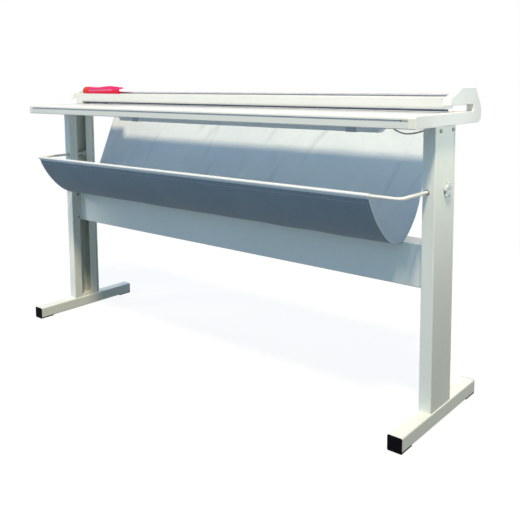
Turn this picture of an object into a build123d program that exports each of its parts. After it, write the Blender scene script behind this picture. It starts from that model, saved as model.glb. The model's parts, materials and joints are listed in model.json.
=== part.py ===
"""Rotary paper trimmer on a stand with a cloth catch trough.

Millimetres. X runs along the cut, Y to the back, Z up. The origin is on the
floor, midway between the two feet.
"""
from build123d import *
import os
from math import cos, hypot, radians, sin, tan

# Stand
foot_length = 476.0
foot_width = 45.0
foot_height = 42.0
foot_wall = 2.5
foot_corner = 4.0
sole_height = 3.0            # rubber sole under each end of a foot
sole_length = 60.0
sole_inset = 1.0
cap_flange = 2.0
cap_plug_length = 25.0
cap_plug_gap = 0.2

# Posts, channels that stand open towards each other
post_beyond = 4.0            # outside the table panel's end
post_width = 39.0
post_front = 64.0            # in front of the foot's middle
post_rear = 56.0
post_wall = 2.5
post_corner = 3.0
post_lip = 36.0
base_plate = 8.0
post_cover_depth = 7.6
post_cover_gap = 0.4
post_cover_wall = 2.0
base_bolt_radius = 4.0
base_bolt_spread = 35.0
base_bolt_head_radius = 7.0
base_bolt_head_height = 5.5
base_access_radius = 8.5
bolt_clearance = 0.3
thread_gap = 0.05

# Stretcher between the posts, a folded sheet with end plates
stretcher_bottom = 397.0
stretcher_height = 130.0
stretcher_front = -22.0
stretcher_beyond = 6.0       # behind the posts
stretcher_sheet = 2.0
stretcher_bend = 2.0
stretcher_foot = 42.0
stretcher_return = 20.0
stretcher_hem = 15.0
end_plate = 3.0
end_plate_front_inset = 18.0
end_plate_rear_inset = 4.0
stretcher_bolt_front_inset = 8.0    # from the edge of the post's front lip
stretcher_bolt_rear_inset = 20.0    # from the edge of the post's rear lip
stretcher_bolt_inset = 14.0
stretcher_bolt_radius = 3.0
stretcher_bolt_head_radius = 5.6
stretcher_bolt_head_height = 3.6
stretcher_bolt_length = 10.0
stretcher_nut_height = 5.0

# Table
table_length = 1746.0        # between the two cheeks
table_front = -219.0
table_rear = 203.0
table_top = 912.0
table_thickness = 35.0
front_profile_depth = 39.0
front_profile_wall = 2.5
front_top_radius = 8.0
front_bottom_radius = 3.0
groove_drop = 13.0           # from the table top to the middle of the groove
groove_height = 5.0
groove_depth = 7.0
insert_gap = 0.2
insert_back_gap = 0.5
insert_setback = 1.0
insert_short = 24.0          # the insert stops short of each end

# Fixed knife on the panel's rear edge
cut_gap = 4.0                # from the beam to the panel's rear edge
knife_thickness = 5.0
knife_height = 20.0
knife_short = 3.0
knife_screw_count = 6
knife_screw_radius = 2.4
knife_screw_head_radius = 4.2
knife_screw_length = 14.0
knife_screw_drop = 11.0

# Rear rail, which holds the cloth by a bead in a groove
rail_depth = 38.0
rail_wall = 2.5
bead_radius = 2.9
bead_gap = 0.3
bead_groove_slot = 2.6
bead_inset = 17.0            # from the rail's rear face to the bead
bead_rise = 8.0              # from the rail's underside to the bead

# Cheeks, the moulded ends of the table that carry the beam
cheek_thickness = 22.0
cheek_above_beam = 26.5
cheek_rear_radius = 22.0
cheek_edge = 2.0
throat_height = 20.0
throat_front = -15.0
throat_rear = 144.0
throat_radius = 5.0

# Beam over the table, with the rod that the head runs on
beam_depth = 48.0
beam_gap = 9.0               # over the table, for the paper
beam_height = 35.0
beam_wall = 2.5
beam_low_radius = 8.0
beam_top_radius = 2.5
beam_cap_left = 40.0
beam_cap_right = 8.0
cap_edge = 3.0
sight_slot_width = 3.0
sight_slot_drop = 6.0        # from the beam's top
sight_slot_height = 13.0
sight_slot_depth = 1.6
rod_radius = 4.0
rod_inset = 4.0              # from the beam's rear face to the rod's middle
rod_lift = 5.5               # from the beam's top to the rod's middle
rib_width = 3.0
rib_height = 3.0
seat_gap = 0.05

# Clamp strip under the beam
clamp_inset = 4.0
clamp_thickness = 2.5
clamp_gap = 1.5              # over the table
clamp_foot_depth = 9.0
clamp_foot_height = 2.0
clamp_short = 4.0

# Cutter head, parked at the left
head_length = 259.0
head_park = 40.0             # from the left cheek to the head
cover_front = 2.0
cover_rise = 33.5            # over the beam
cover_gap = 1.0              # between the beam and the cover's brim
cover_wall = 2.5
cover_room = 2.5             # behind the carriage's arm
cover_lap_gap = 14.0         # from the beam to where the rear skirt starts
cover_skirt = 30.0           # below the beam's top
cover_end_radius = 12.0
cover_taper = 96.0           # the right end's slant towards the rear
cover_tip_radius = 3.0
cover_rear_drop = 9.0        # the top's fall towards the rear
grip_radius = 10.0           # the groove for the fingers along the front
grip_depth = 2.6
grip_left_lift = 10.0        # over the cover's brim
grip_right_lift = 17.0
carriage_left_inset = 10.0
carriage_right_inset = 98.0
carriage_nose = 12.0         # depth of the plate's arm under the lever
carriage_front_gap = 3.5
carriage_lift = 11.0         # from the beam to the carriage's plate
carriage_plate = 4.0
carriage_arm = 6.0
carriage_below_axle = 7.0
glide_depth = 9.0
glide_gap = 0.4
bush_block_half = 10.0
bush_wall = 3.0
bush_gap = 0.05
bush_length = 40.0
bush_lip = 4.0               # below the rod's middle
rib_gap = 1.0
cover_screw_radius = 2.0
cover_screw_head_radius = 4.0
cover_screw_head_height = 2.2
cover_boss_radius = 5.0
cover_screw_inset = 62.0
cover_screw_right_inset = 20.0
cover_screw_length = 8.0     # above the carriage's plate

# Cutting wheel, which runs against the knife's rear face
wheel_radius = 22.0
wheel_inset = 95.0           # from the head's left end
wheel_thickness = 1.6
wheel_bevel = 1.1
wheel_dip = 2.0              # below the table top
wheel_gap = 0.15
hub_radius = 8.0
axle_radius = 3.0
axle_head_radius = 5.0
axle_head = 3.0
running_gap = 0.05
washer_radius = 7.0
washer_thickness = 0.6
washer_room = 2.2            # between the hub and the carriage's arm

# Guide rollers on the beam's rear face
roller_radius = 8.0
roller_height = 14.0
roller_spread = 52.0
roller_pin_radius = 2.5
ear_thickness = 4.0
ear_width = 12.0
ear_gap = 0.5
ear_nose = 5.0               # in front of the roller's pin
arm_gap = 1.95               # from the rollers to the carriage's arm

# Thumb lever at the head's right end
lever_length = 54.0
lever_width = 8.0
lever_thickness = 9.0
lever_pivot_inset = 44.0
lever_pivot_rise = 8.0
lever_eye_radius = 5.0
lever_front = 11.5
lever_edge = 1.3
lever_pin_radius = 1.5
lever_slot_gap = 1.0
lever_ear = 3.0
lever_ear_gap = 0.5
lever_ear_radius = 3.6
lever_fork_room = 3.4        # in front of the ear, for the lift

# Catch rod, its bushes, clamps and knobs
catch_rod_radius = 5.0
catch_rod_inset = 4.5        # from the foot's middle
catch_rod_front = -216.0
catch_rod_drop = 186.0       # below the table's underside
catch_rod_bend = 18.0
catch_rod_end = 34.0
rod_bush_radius = 6.5
rod_bush_flange_radius = 7.5
rod_bush_flange = 2.0
rod_bush_gap = 0.08
clamp_block_front = 1.0
clamp_block_depth = 20.0
clamp_block_inset = 2.5
clamp_block_half = 10.0      # above and below the rod's middle
stud_radius = 3.0
stud_tip_gap = 0.1           # from the loosened stud to the rod
knob_radius = 22.0
knob_thickness = 6.5
knob_lobes = 5
knob_notch_radius = 9.0
knob_edge = 1.5
knob_hub_radius = 12.0
knob_stand = 1.5
knob_hub_recess = 1.0
knob_face_gap = 0.4

# Catch cloth
cloth_left_gap = 23.0        # from the rod's left arm
cloth_right_gap = 95.0
cloth_thickness = 1.6
cloth_drop = 6.5             # straight down out of the rail's groove
cloth_edge_radius = 12.0
cloth_rear_lean = 23.9       # of the rear panel from the vertical, in degrees
cloth_rear_length = 251.0
cloth_upper_radius = 257.6
cloth_upper_turn = 28.8
cloth_low_radius = 80.4
cloth_low_turn = 46.1
cloth_front_radius = 142.6
cloth_front_turn = 28.7
hem_gap = 0.4
hem_wall = 1.6

# Table brackets inside the posts
bracket_sheet = 3.0
bracket_front_gap = 11.5     # inside the post's front wall
bracket_rear_gap = 1.5
bracket_height = 42.0
bracket_reach = 28.0
bracket_bolt_front_inset = 14.0
bracket_bolt_rear_inset = 8.0
bracket_bolt_drop = 14.0
bracket_bolt_radius = 4.0
bracket_bolt_head_radius = 6.5
bracket_bolt_head_height = 4.5
bracket_nut_height = 5.0
bracket_bolt_spare = 1.5
bracket_screw_front_inset = 20.0
bracket_screw_rear_inset = 14.0
bracket_screw_radius = 2.4
bracket_screw_head_radius = 4.5
bracket_screw_head_height = 2.8
bracket_screw_length = 18.0
bracket_screw_inset = 12.0

# Lamp under the cut line
tube_length = 1200.0
tube_radius = 13.0
lamp_end_room = 40.0
lamp_lap = 6.0               # in front of the panel's rear edge
lamp_room = 2.8              # in front of and behind the tube
lamp_headroom = 4.5          # over and under the tube
lamp_sheet = 1.2
lamp_chamfer = 13.0
holder_thickness = 11.0
holder_width = 22.0
holder_headroom = 3.8
holder_gap = 0.3
strap_inset = 110.0          # from the tray's end
strap_width = 38.0
strap_sheet = 1.5
strap_ear = 17.0
strap_screw_radius = 2.0
strap_screw_head_radius = 4.0
strap_screw_head_height = 2.0
strap_screw_length = 12.0

# Lead from the lamp to the box in the right post
lead_diameter = 4.6
gland_radius = 5.5
gland_tip_radius = 3.4
gland_length = 12.0
lead_exit_lift = 20.0
lead_exit_back = 14.0
box_half_width = 14.0
box_drop = 30.0              # below the table's underside
box_height = 24.0
box_depth = 21.0
box_snout = 4.0
box_snout_radius = 5.0
box_lead_lift = 16.5
lead_bends = [
    (668.0, 60.0, 862.0),
    (688.0, 56.0, 850.0),
    (722.0, 46.0, 842.0),
    (764.0, 31.0, 847.0),
    (803.0, 12.0, 858.0),
    (828.0, 0.0, 863.5),
]

over = 1.0                   # how far cuts run past a face

# Outline shares: of the cheek's depth and height over the throat, and of the head's length and height
cheek_slope_shares = [(1.0, 0.143), (0.803, 1.0), (0.35, 1.0), (0.17, 0.723), (0.024, 0.603)]
cheek_slope_radii_shares = [0.3, 0.075, 0.06, 0.75, 0.075]
cover_side_shares = [
    (0.03, 0.0), (0.0, 0.49), (0.02, 0.937), (0.147, 0.937), (0.293, 0.858),
    (0.68, 1.0), (0.931, 0.866), (1.0, 0.62), (1.0, 0.49), (0.97, 0.0),
]
cover_side_radii_shares = [0.0, 0.0, 0.13, 0.6, 1.0, 1.6, 0.3, 0.08, 0.0, 0.0]
cover_shoulder_share = 0.23
grip_end_shares = (0.27, 0.86)

# Derived places
table_underside = table_top - table_thickness
table_half = table_length / 2
post_outer = table_half + post_beyond
post_inner = post_outer - post_width
post_web = post_outer - post_wall
leg_x = post_outer - post_width / 2
post_base = sole_height + foot_height
stretcher_top = stretcher_bottom + stretcher_height
stretcher_depth = post_rear + stretcher_beyond - stretcher_front
end_plate_front = end_plate_front_inset - post_front
end_plate_rear = post_rear - end_plate_rear_inset
stretcher_bolt_front = post_lip - post_front - stretcher_bolt_front_inset
stretcher_bolt_rear = post_rear - post_lip + stretcher_bolt_rear_inset
beam_bottom = table_top + beam_gap
beam_top = beam_bottom + beam_height
beam_left = beam_cap_left - table_half
beam_right = table_half - beam_cap_right
rod_back = beam_depth - rod_inset
rod_z = beam_top + rod_lift
cheek_rise = beam_gap + beam_height + cheek_above_beam
clamp_back = beam_depth - clamp_inset
panel_rear = beam_depth + cut_gap
knife_rear = panel_rear + knife_thickness
wheel_front = knife_rear + wheel_gap
wheel_z = table_top - wheel_dip + wheel_radius
roller_y = beam_depth + running_gap + roller_radius
roller_z = beam_bottom + beam_height / 2
carriage_front = cover_front + cover_wall + carriage_front_gap
carriage_top = beam_top + carriage_lift + carriage_plate
carriage_bottom = wheel_z - carriage_below_axle
arm_front = roller_y + roller_radius + arm_gap
carriage_back = arm_front + carriage_arm
hub_end = arm_front - washer_room
cover_rear = carriage_back + cover_room + cover_wall
cover_lap = beam_depth + cover_lap_gap
cover_brim = beam_top + cover_gap
cover_bottom = beam_top - cover_skirt
cover_top = beam_top + cover_rise
head_left = head_park - table_half
head_right = head_left + head_length
head_middle = head_left + head_length / 2
wheel_x = head_left + wheel_inset
lever_pivot_x = head_right - lever_pivot_inset
lever_pivot_z = carriage_top + lever_pivot_rise
lever_rear = lever_front + lever_width
lever_ear_front = lever_front + (lever_width - lever_ear) / 2
lever_ear_rear = lever_ear_front + lever_ear
catch_rod_spread = leg_x - catch_rod_inset
catch_rod_height = table_underside - catch_rod_drop
knob_y = clamp_block_front + clamp_block_depth / 2
stud_tip = catch_rod_spread + catch_rod_radius + stud_tip_gap
cloth_left = cloth_left_gap - catch_rod_spread
cloth_right = catch_rod_spread - cloth_right_gap
rail_front = table_rear - rail_depth
bead_y = table_rear - bead_inset
bead_z = table_underside + bead_rise
bracket_front = post_wall + bracket_front_gap - post_front
bracket_rear = post_rear - post_wall - bracket_rear_gap
bracket_bolt_front = bracket_front + bracket_bolt_front_inset
bracket_bolt_rear = bracket_rear - bracket_bolt_rear_inset
bracket_screw_front = bracket_front + bracket_screw_front_inset
bracket_screw_rear = bracket_rear - bracket_screw_rear_inset
lamp_front = panel_rear - lamp_lap
lamp_depth = 2 * (tube_radius + lamp_room + lamp_sheet)
lamp_height = 2 * (tube_radius + lamp_headroom)
lamp_half = tube_length / 2 + lamp_end_room
lamp_bottom = table_underside - lamp_height
tube_y = lamp_front + lamp_depth / 2
tube_z = lamp_bottom + lamp_height / 2
strap_place = lamp_half - strap_inset
box_bottom = table_underside - box_drop
bush_radius = rod_radius + running_gap + bush_wall


def slab(x0, x1, y0, y1, z0, z1):
    """A block between two opposite corners."""
    middle = Pos((x0 + x1) / 2, (y0 + y1) / 2, (z0 + z1) / 2)
    return middle * Box(x1 - x0, y1 - y0, z1 - z0)


def outline(points, radii):
    """A closed flat face whose corners are rounded, each by its own radius."""
    return make_face(FilletPolyline(*points, radius=radii, close=True))


def along_x(face, x0, x1):
    """Carry a face drawn in Y and Z from x0 to x1."""
    return Pos(x0, 0, 0) * extrude(Plane.YZ * face, x1 - x0)


def along_y(face, y0, y1):
    """Carry a face drawn in X and Z from y0 to y1."""
    return Pos(0, y0, 0) * extrude(Plane.XZ * face, y0 - y1)


def pin_x(radius, x0, x1, y, z):
    base = (Align.CENTER, Align.CENTER, Align.MIN)
    return Pos(x0, y, z) * Rot(0, 90, 0) * Cylinder(radius, x1 - x0, align=base)


def pin_y(radius, y0, y1, x, z):
    base = (Align.CENTER, Align.CENTER, Align.MIN)
    return Pos(x, y0, z) * Rot(-90, 0, 0) * Cylinder(radius, y1 - y0, align=base)


def pin_z(radius, z0, z1, x, y):
    base = (Align.CENTER, Align.CENTER, Align.MIN)
    return Pos(x, y, z0) * Cylinder(radius, z1 - z0, align=base)


def hex_x(radius, x0, x1, y, z):
    return Pos(x0, y, z) * extrude(Plane.YZ * RegularPolygon(radius, 6), x1 - x0)


def hex_z(radius, z0, z1, x, y):
    return Pos(x, y, z0) * extrude(RegularPolygon(radius, 6), z1 - z0)


def mirrored(shape):
    return mirror(shape, about=Plane.YZ)


def both_sides(name, shape):
    """Write a piece of the right side and its mirror image on the left."""
    save(name + "_right", shape)
    save(name + "_left", mirrored(shape))


def group(solids):
    return Compound(children=list(solids))


def save(name, shape):
    export_step(shape, "parts/" + name + ".step")


def foot():
    middle = Pos(leg_x, 0, sole_height + foot_height / 2)
    outer = RectangleRounded(foot_width, foot_height, foot_corner)
    inner = RectangleRounded(
        foot_width - 2 * foot_wall, foot_height - 2 * foot_wall, foot_corner - foot_wall / 2
    )
    tube = middle * extrude(Plane.XZ * (outer - inner), foot_length / 2, both=True)
    for y in (-base_bolt_spread, base_bolt_spread):
        tube -= pin_z(base_access_radius, 0, sole_height + foot_wall + over, leg_x, y)
        tube -= pin_z(
            base_bolt_radius + bolt_clearance, post_base - foot_wall - over, post_base + over, leg_x, y
        )
    return tube


def foot_cap(side):
    """The black end cap of a foot: flange, plug and sole in one moulding; side is -1 for the front."""
    end = side * foot_length / 2
    outer_end = end + side * cap_flange
    flange_face = Pos(0, (sole_height + foot_height) / 2) * RectangleRounded(
        foot_width, sole_height + foot_height, foot_corner
    )
    flange = Pos(leg_x, 0, 0) * along_y(flange_face, min(end, outer_end), max(end, outer_end))
    plug_face = Pos(0, sole_height + foot_height / 2) * RectangleRounded(
        foot_width - 2 * foot_wall - 2 * cap_plug_gap,
        foot_height - 2 * foot_wall - 2 * cap_plug_gap,
        foot_corner - foot_wall / 2,
    )
    plug_end = end - side * cap_plug_length
    plug = Pos(leg_x, 0, 0) * along_y(plug_face, min(end, plug_end), max(end, plug_end))
    sole_end = outer_end - side * sole_length
    half = foot_width / 2 - sole_inset
    sole = slab(
        leg_x - half, leg_x + half, min(outer_end, sole_end), max(outer_end, sole_end), 0, sole_height
    )
    return flange + plug + sole


def post():
    outer = Pos(leg_x, (post_rear - post_front) / 2) * RectangleRounded(
        post_width, post_front + post_rear, post_corner
    )
    cavity = Pos(leg_x, (post_rear - post_front) / 2) * Rectangle(
        post_width - 2 * post_wall, post_front + post_rear - 2 * post_wall
    )
    mouth = Pos(post_inner, (post_rear - post_front) / 2) * Rectangle(
        2 * post_wall + over, post_front + post_rear - 2 * post_lip
    )
    body = Pos(0, 0, post_base) * extrude(outer - cavity - mouth, table_underside - post_base)
    body += slab(
        post_inner + post_wall, post_web, post_wall - post_front, post_rear - post_wall,
        post_base, post_base + base_plate,
    )
    plate_top = post_base + base_plate
    for y in (-base_bolt_spread, base_bolt_spread):
        body -= pin_z(base_bolt_radius + thread_gap, post_base - over, plate_top + over, leg_x, y)
    bolt_z = table_underside - bracket_bolt_drop
    for y in (bracket_bolt_front, bracket_bolt_rear):
        body -= pin_x(bracket_bolt_radius + bolt_clearance, post_web - over, post_outer + over, y, bolt_z)
    for y in (stretcher_bolt_front, stretcher_bolt_rear):
        for z in (stretcher_bottom + stretcher_bolt_inset, stretcher_top - stretcher_bolt_inset):
            body -= pin_x(
                stretcher_bolt_radius + bolt_clearance, post_inner - over, post_inner + post_wall + over, y, z
            )
    body -= pin_y(
        rod_bush_radius + seat_gap, -post_front - over, post_wall - post_front + over,
        catch_rod_spread, catch_rod_height,
    )
    body -= pin_x(
        stud_radius + bolt_clearance, post_web - over, post_outer + over, knob_y, catch_rod_height
    )
    return body


def post_cover():
    """A shallow channel that closes the post's back."""
    front = post_rear + post_cover_gap
    rear = front + post_cover_depth
    outer = Pos(leg_x, (front + rear) / 2) * Rectangle(post_width, post_cover_depth)
    hollow = Pos(leg_x, (front + rear - post_cover_wall) / 2 - over / 2) * Rectangle(
        post_width - 2 * post_cover_wall, post_cover_depth - post_cover_wall + over
    )
    strip = Pos(0, 0, post_base) * extrude(outer - hollow, table_underside - post_base)
    corners = strip.edges().filter_by(Axis.Z).group_by(Axis.Y)[-1]
    return fillet(corners, post_cover_wall)


def base_bolts():
    """Bolts up through each foot into the post's base plate."""
    head_top = post_base - foot_wall
    bolts = []
    for x in (-leg_x, leg_x):
        for y in (-base_bolt_spread, base_bolt_spread):
            head = hex_z(base_bolt_head_radius, head_top - base_bolt_head_height, head_top, x, y)
            bolts.append(head + pin_z(base_bolt_radius, head_top, post_base + base_plate, x, y))
    return group(bolts)


def stretcher_bolt_places():
    low = stretcher_bottom + stretcher_bolt_inset
    high = stretcher_top - stretcher_bolt_inset
    return [(y, z) for y in (stretcher_bolt_front, stretcher_bolt_rear) for z in (low, high)]


def stretcher():
    """Folded sheet: top, front and bottom with returns."""
    t = stretcher_sheet
    y0 = stretcher_front
    y1 = y0 + stretcher_depth
    low = stretcher_bottom
    high = stretcher_top
    points = [
        (y1, high - stretcher_return), (y1, high), (y0, high), (y0, low),
        (y0 + stretcher_foot, low), (y0 + stretcher_foot, low + stretcher_hem),
        (y0 + stretcher_foot - t, low + stretcher_hem), (y0 + stretcher_foot - t, low + t),
        (y0 + t, low + t), (y0 + t, high - t), (y1 - t, high - t), (y1 - t, high - stretcher_return),
    ]
    outer = stretcher_bend + t
    inner = stretcher_bend
    radii = [0, outer, outer, outer, outer, 0, 0, inner, inner, inner, inner, 0]
    half = post_inner - end_plate
    return along_x(outline(points, radii), -half, half)


def stretcher_ends():
    """The plates welded to the stretcher's ends, which bolt to the posts' lips."""
    face = post_inner - end_plate
    plate = slab(face, post_inner, end_plate_front, end_plate_rear, stretcher_bottom, stretcher_top)
    for y, z in stretcher_bolt_places():
        plate -= pin_x(stretcher_bolt_radius + bolt_clearance, face - over, post_inner + over, y, z)
    return group([plate, mirrored(plate)])


def stretcher_bolts():
    """Bolts through the end plates and the posts' lips, each with its nut run home."""
    face = post_inner - end_plate
    back = post_inner + post_wall
    bolts = []
    for y, z in stretcher_bolt_places():
        bolt = hex_x(stretcher_bolt_head_radius, face - stretcher_bolt_head_height, face, y, z)
        bolt += pin_x(stretcher_bolt_radius, face, back + stretcher_bolt_length, y, z)
        bolt += hex_x(stretcher_bolt_head_radius, back, back + stretcher_nut_height, y, z)
        bolts += [bolt, mirrored(bolt)]
    return group(bolts)


def table_bracket():
    web = slab(
        post_web - bracket_sheet, post_web, bracket_front, bracket_rear,
        table_underside - bracket_height, table_underside,
    )
    flange = slab(
        post_web - bracket_reach, post_web, bracket_front, bracket_rear,
        table_underside - bracket_sheet, table_underside,
    )
    body = web + flange
    z = table_underside - bracket_bolt_drop
    for y in (bracket_bolt_front, bracket_bolt_rear):
        body -= pin_x(
            bracket_bolt_radius + bolt_clearance, post_web - bracket_sheet - over, post_web + over, y, z
        )
    x = post_web - bracket_reach + bracket_screw_inset
    for y in (bracket_screw_front, bracket_screw_rear):
        body -= pin_z(
            bracket_screw_radius + bolt_clearance,
            table_underside - bracket_sheet - over, table_underside + over, x, y,
        )
    return body


def bracket_bolts():
    """Bolts through each post and its table bracket, each with its nut run home."""
    inside = post_web - bracket_sheet
    z = table_underside - bracket_bolt_drop
    bolts = []
    for y in (bracket_bolt_front, bracket_bolt_rear):
        bolt = hex_x(bracket_bolt_head_radius, post_outer, post_outer + bracket_bolt_head_height, y, z)
        bolt += pin_x(bracket_bolt_radius, inside - bracket_nut_height - bracket_bolt_spare, post_outer, y, z)
        bolt += hex_x(bracket_bolt_head_radius, inside - bracket_nut_height, inside, y, z)
        bolts += [bolt, mirrored(bolt)]
    return group(bolts)


def bracket_screws():
    under = table_underside - bracket_sheet
    x = post_web - bracket_reach + bracket_screw_inset
    screws = []
    for y in (bracket_screw_front, bracket_screw_rear):
        screw = pin_z(bracket_screw_head_radius, under - bracket_screw_head_height, under, x, y)
        screw += pin_z(bracket_screw_radius, under, under + bracket_screw_length, x, y)
        screws += [screw, mirrored(screw)]
    return group(screws)


def table_panel():
    front = table_front + front_profile_depth
    board = slab(-table_half, table_half, front, panel_rear, table_underside, table_top)
    hole_top = table_underside - bracket_sheet + bracket_screw_length
    x = post_web - bracket_reach + bracket_screw_inset
    for side in (-x, x):
        for y in (bracket_screw_front, bracket_screw_rear):
            board -= pin_z(bracket_screw_radius + thread_gap, table_underside - over, hole_top, side, y)
    for x in knife_screw_places():
        board -= pin_y(
            knife_screw_radius + thread_gap, knife_rear - knife_screw_length, panel_rear + over,
            x, table_top - knife_screw_drop,
        )
    strap_y = lamp_front - strap_ear / 2
    for x in (-strap_place, strap_place):
        board -= pin_z(
            strap_screw_radius + thread_gap, table_underside - over,
            table_underside - strap_sheet + strap_screw_length, x, strap_y,
        )
    return board


def front_profile():
    """The extrusion along the table's front edge, hollow, with a groove for the insert."""
    y0 = table_front
    y1 = table_front + front_profile_depth
    skin = outline(
        [(y0, table_underside), (y1, table_underside), (y1, table_top), (y0, table_top)],
        [front_bottom_radius, 0, 0, front_top_radius],
    )
    groove_z = table_top - groove_drop
    groove = Pos(y0, groove_z) * Rectangle(2 * groove_depth, groove_height)
    w = front_profile_wall
    room = outline(
        [
            (y0 + groove_depth + w, table_underside + w), (y1 - w, table_underside + w),
            (y1 - w, table_top - w), (y0 + groove_depth + w, table_top - w),
        ],
        [w, w, w, w],
    )
    return along_x(skin - groove - room, -table_half, table_half)


def groove_insert():
    z = table_top - groove_drop
    y0 = table_front + insert_setback
    y1 = table_front + groove_depth - insert_back_gap
    half = table_half - insert_short
    rise = groove_height / 2 - insert_gap
    return slab(-half, half, y0, y1, z - rise, z + rise)


def knife_screw_places():
    pitch = (table_length - 2 * knife_short) / knife_screw_count
    return [pitch * (i - (knife_screw_count - 1) / 2) for i in range(knife_screw_count)]


def knife():
    half = table_half - knife_short
    bar = slab(-half, half, panel_rear, knife_rear, table_top - knife_height, table_top)
    z = table_top - knife_screw_drop
    for x in knife_screw_places():
        bar -= countersink(bolt_clearance, x, z)
    return bar


def countersink(gap, x, z):
    """The cone of a knife screw's head, through the knife's full thickness."""
    base = (Align.CENTER, Align.CENTER, Align.MIN)
    cone = Cone(knife_screw_radius + gap, knife_screw_head_radius + gap, knife_thickness, align=base)
    return Pos(x, panel_rear, z) * Rot(-90, 0, 0) * cone


def knife_screws():
    z = table_top - knife_screw_drop
    screws = []
    for x in knife_screw_places():
        screw = countersink(0, x, z)
        screws.append(screw + pin_y(knife_screw_radius, knife_rear - knife_screw_length, panel_rear, x, z))
    return group(screws)


def rear_rail():
    y0 = rail_front
    y1 = table_rear
    z0 = table_underside
    w = rail_wall
    bore = bead_radius + bead_gap
    skin = outline([(y0, z0), (y1, z0), (y1, table_top), (y0, table_top)], [0, w, w, w])
    room_floor = bead_z + bore + w
    room = outline(
        [(y0 + w, room_floor), (y1 - w, room_floor), (y1 - w, table_top - w), (y0 + w, table_top - w)],
        [w, w, w, w],
    )
    pocket = slot_face(y0 + w, bead_y - bore - w, z0 + w, room_floor - w)
    bead = Pos(bead_y, bead_z) * Circle(bore)
    slot = Pos(bead_y, (z0 + bead_z) / 2 - over / 2) * Rectangle(bead_groove_slot, bead_z - z0 + over)
    return along_x(skin - room - pocket - bead - slot, -table_half, table_half)


def slot_face(y0, y1, z0, z1):
    return Pos((y0 + y1) / 2, (z0 + z1) / 2) * Rectangle(y1 - y0, z1 - z0)


def cheek():
    """A moulded end: the table's end below, the beam's carrier above, the throat between."""
    low = table_underside
    depth = table_rear - throat_front
    points = [(table_front, low), (table_rear, low)]
    radii = [front_bottom_radius, cheek_rear_radius]
    for (y_share, z_share), r_share in zip(cheek_slope_shares, cheek_slope_radii_shares):
        points.append((throat_front + y_share * depth, table_top + z_share * cheek_rise))
        radii.append(r_share * cheek_rise)
    points += [
        (throat_front, table_top + throat_height), (throat_rear, table_top + throat_height),
        (throat_rear, table_top), (table_front, table_top),
    ]
    radii += [cheek_edge, throat_radius, throat_radius / 2, front_top_radius]
    body = along_x(outline(points, radii), table_half, table_half + cheek_thickness)
    outer_edges = body.faces().sort_by(Axis.X)[-1].edges()
    return fillet(outer_edges, cheek_edge)


def beam_section(low, low_radius):
    return outline(
        [(0, low), (beam_depth, low), (beam_depth, beam_top), (0, beam_top)],
        [low_radius, beam_top_radius, beam_top_radius, beam_top_radius],
    )


def rib_face():
    rib = Pos(rod_back, beam_top + rib_height / 2 - over / 2) * Rectangle(rib_width, rib_height + over)
    return rib - Pos(rod_back, rod_z) * Circle(rod_radius + seat_gap)


def beam():
    w = beam_wall
    room = outline(
        [
            (w, beam_bottom + w), (beam_depth - w, beam_bottom + w),
            (beam_depth - w, beam_top - w), (w, beam_top - w),
        ],
        [beam_low_radius - w, w, w, w],
    )
    section = beam_section(beam_bottom, beam_low_radius) - room + rib_face()
    body = along_x(section, beam_left, beam_right)
    low = beam_top - sight_slot_drop - sight_slot_height
    body -= slab(
        beam_right - sight_slot_width, beam_right + over, -over, sight_slot_depth,
        low, low + sight_slot_height,
    )
    return body


def beam_cap_with_foot():
    """The left end block, which stands on the table."""
    block = outline(
        [(0, table_top), (beam_depth, table_top), (beam_depth, beam_top), (0, beam_top)],
        [cap_edge, 0, beam_top_radius, beam_top_radius],
    )
    return along_x(block + rib_face(), -table_half, beam_left)


def beam_cap_plain():
    section = beam_section(beam_bottom, beam_low_radius) + rib_face()
    return along_x(section, beam_right, table_half)


def head_rod():
    return pin_x(rod_radius, -table_half, table_half, rod_back, rod_z)


def clamp_strip():
    blade = slot_face(clamp_back, clamp_back + clamp_thickness, table_top + clamp_gap, beam_bottom)
    flange = slot_face(
        clamp_back + clamp_thickness - clamp_foot_depth, clamp_back + clamp_thickness,
        beam_bottom - clamp_foot_height, beam_bottom,
    )
    return along_x(blade + flange, beam_left + clamp_short, beam_right - clamp_short)


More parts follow.
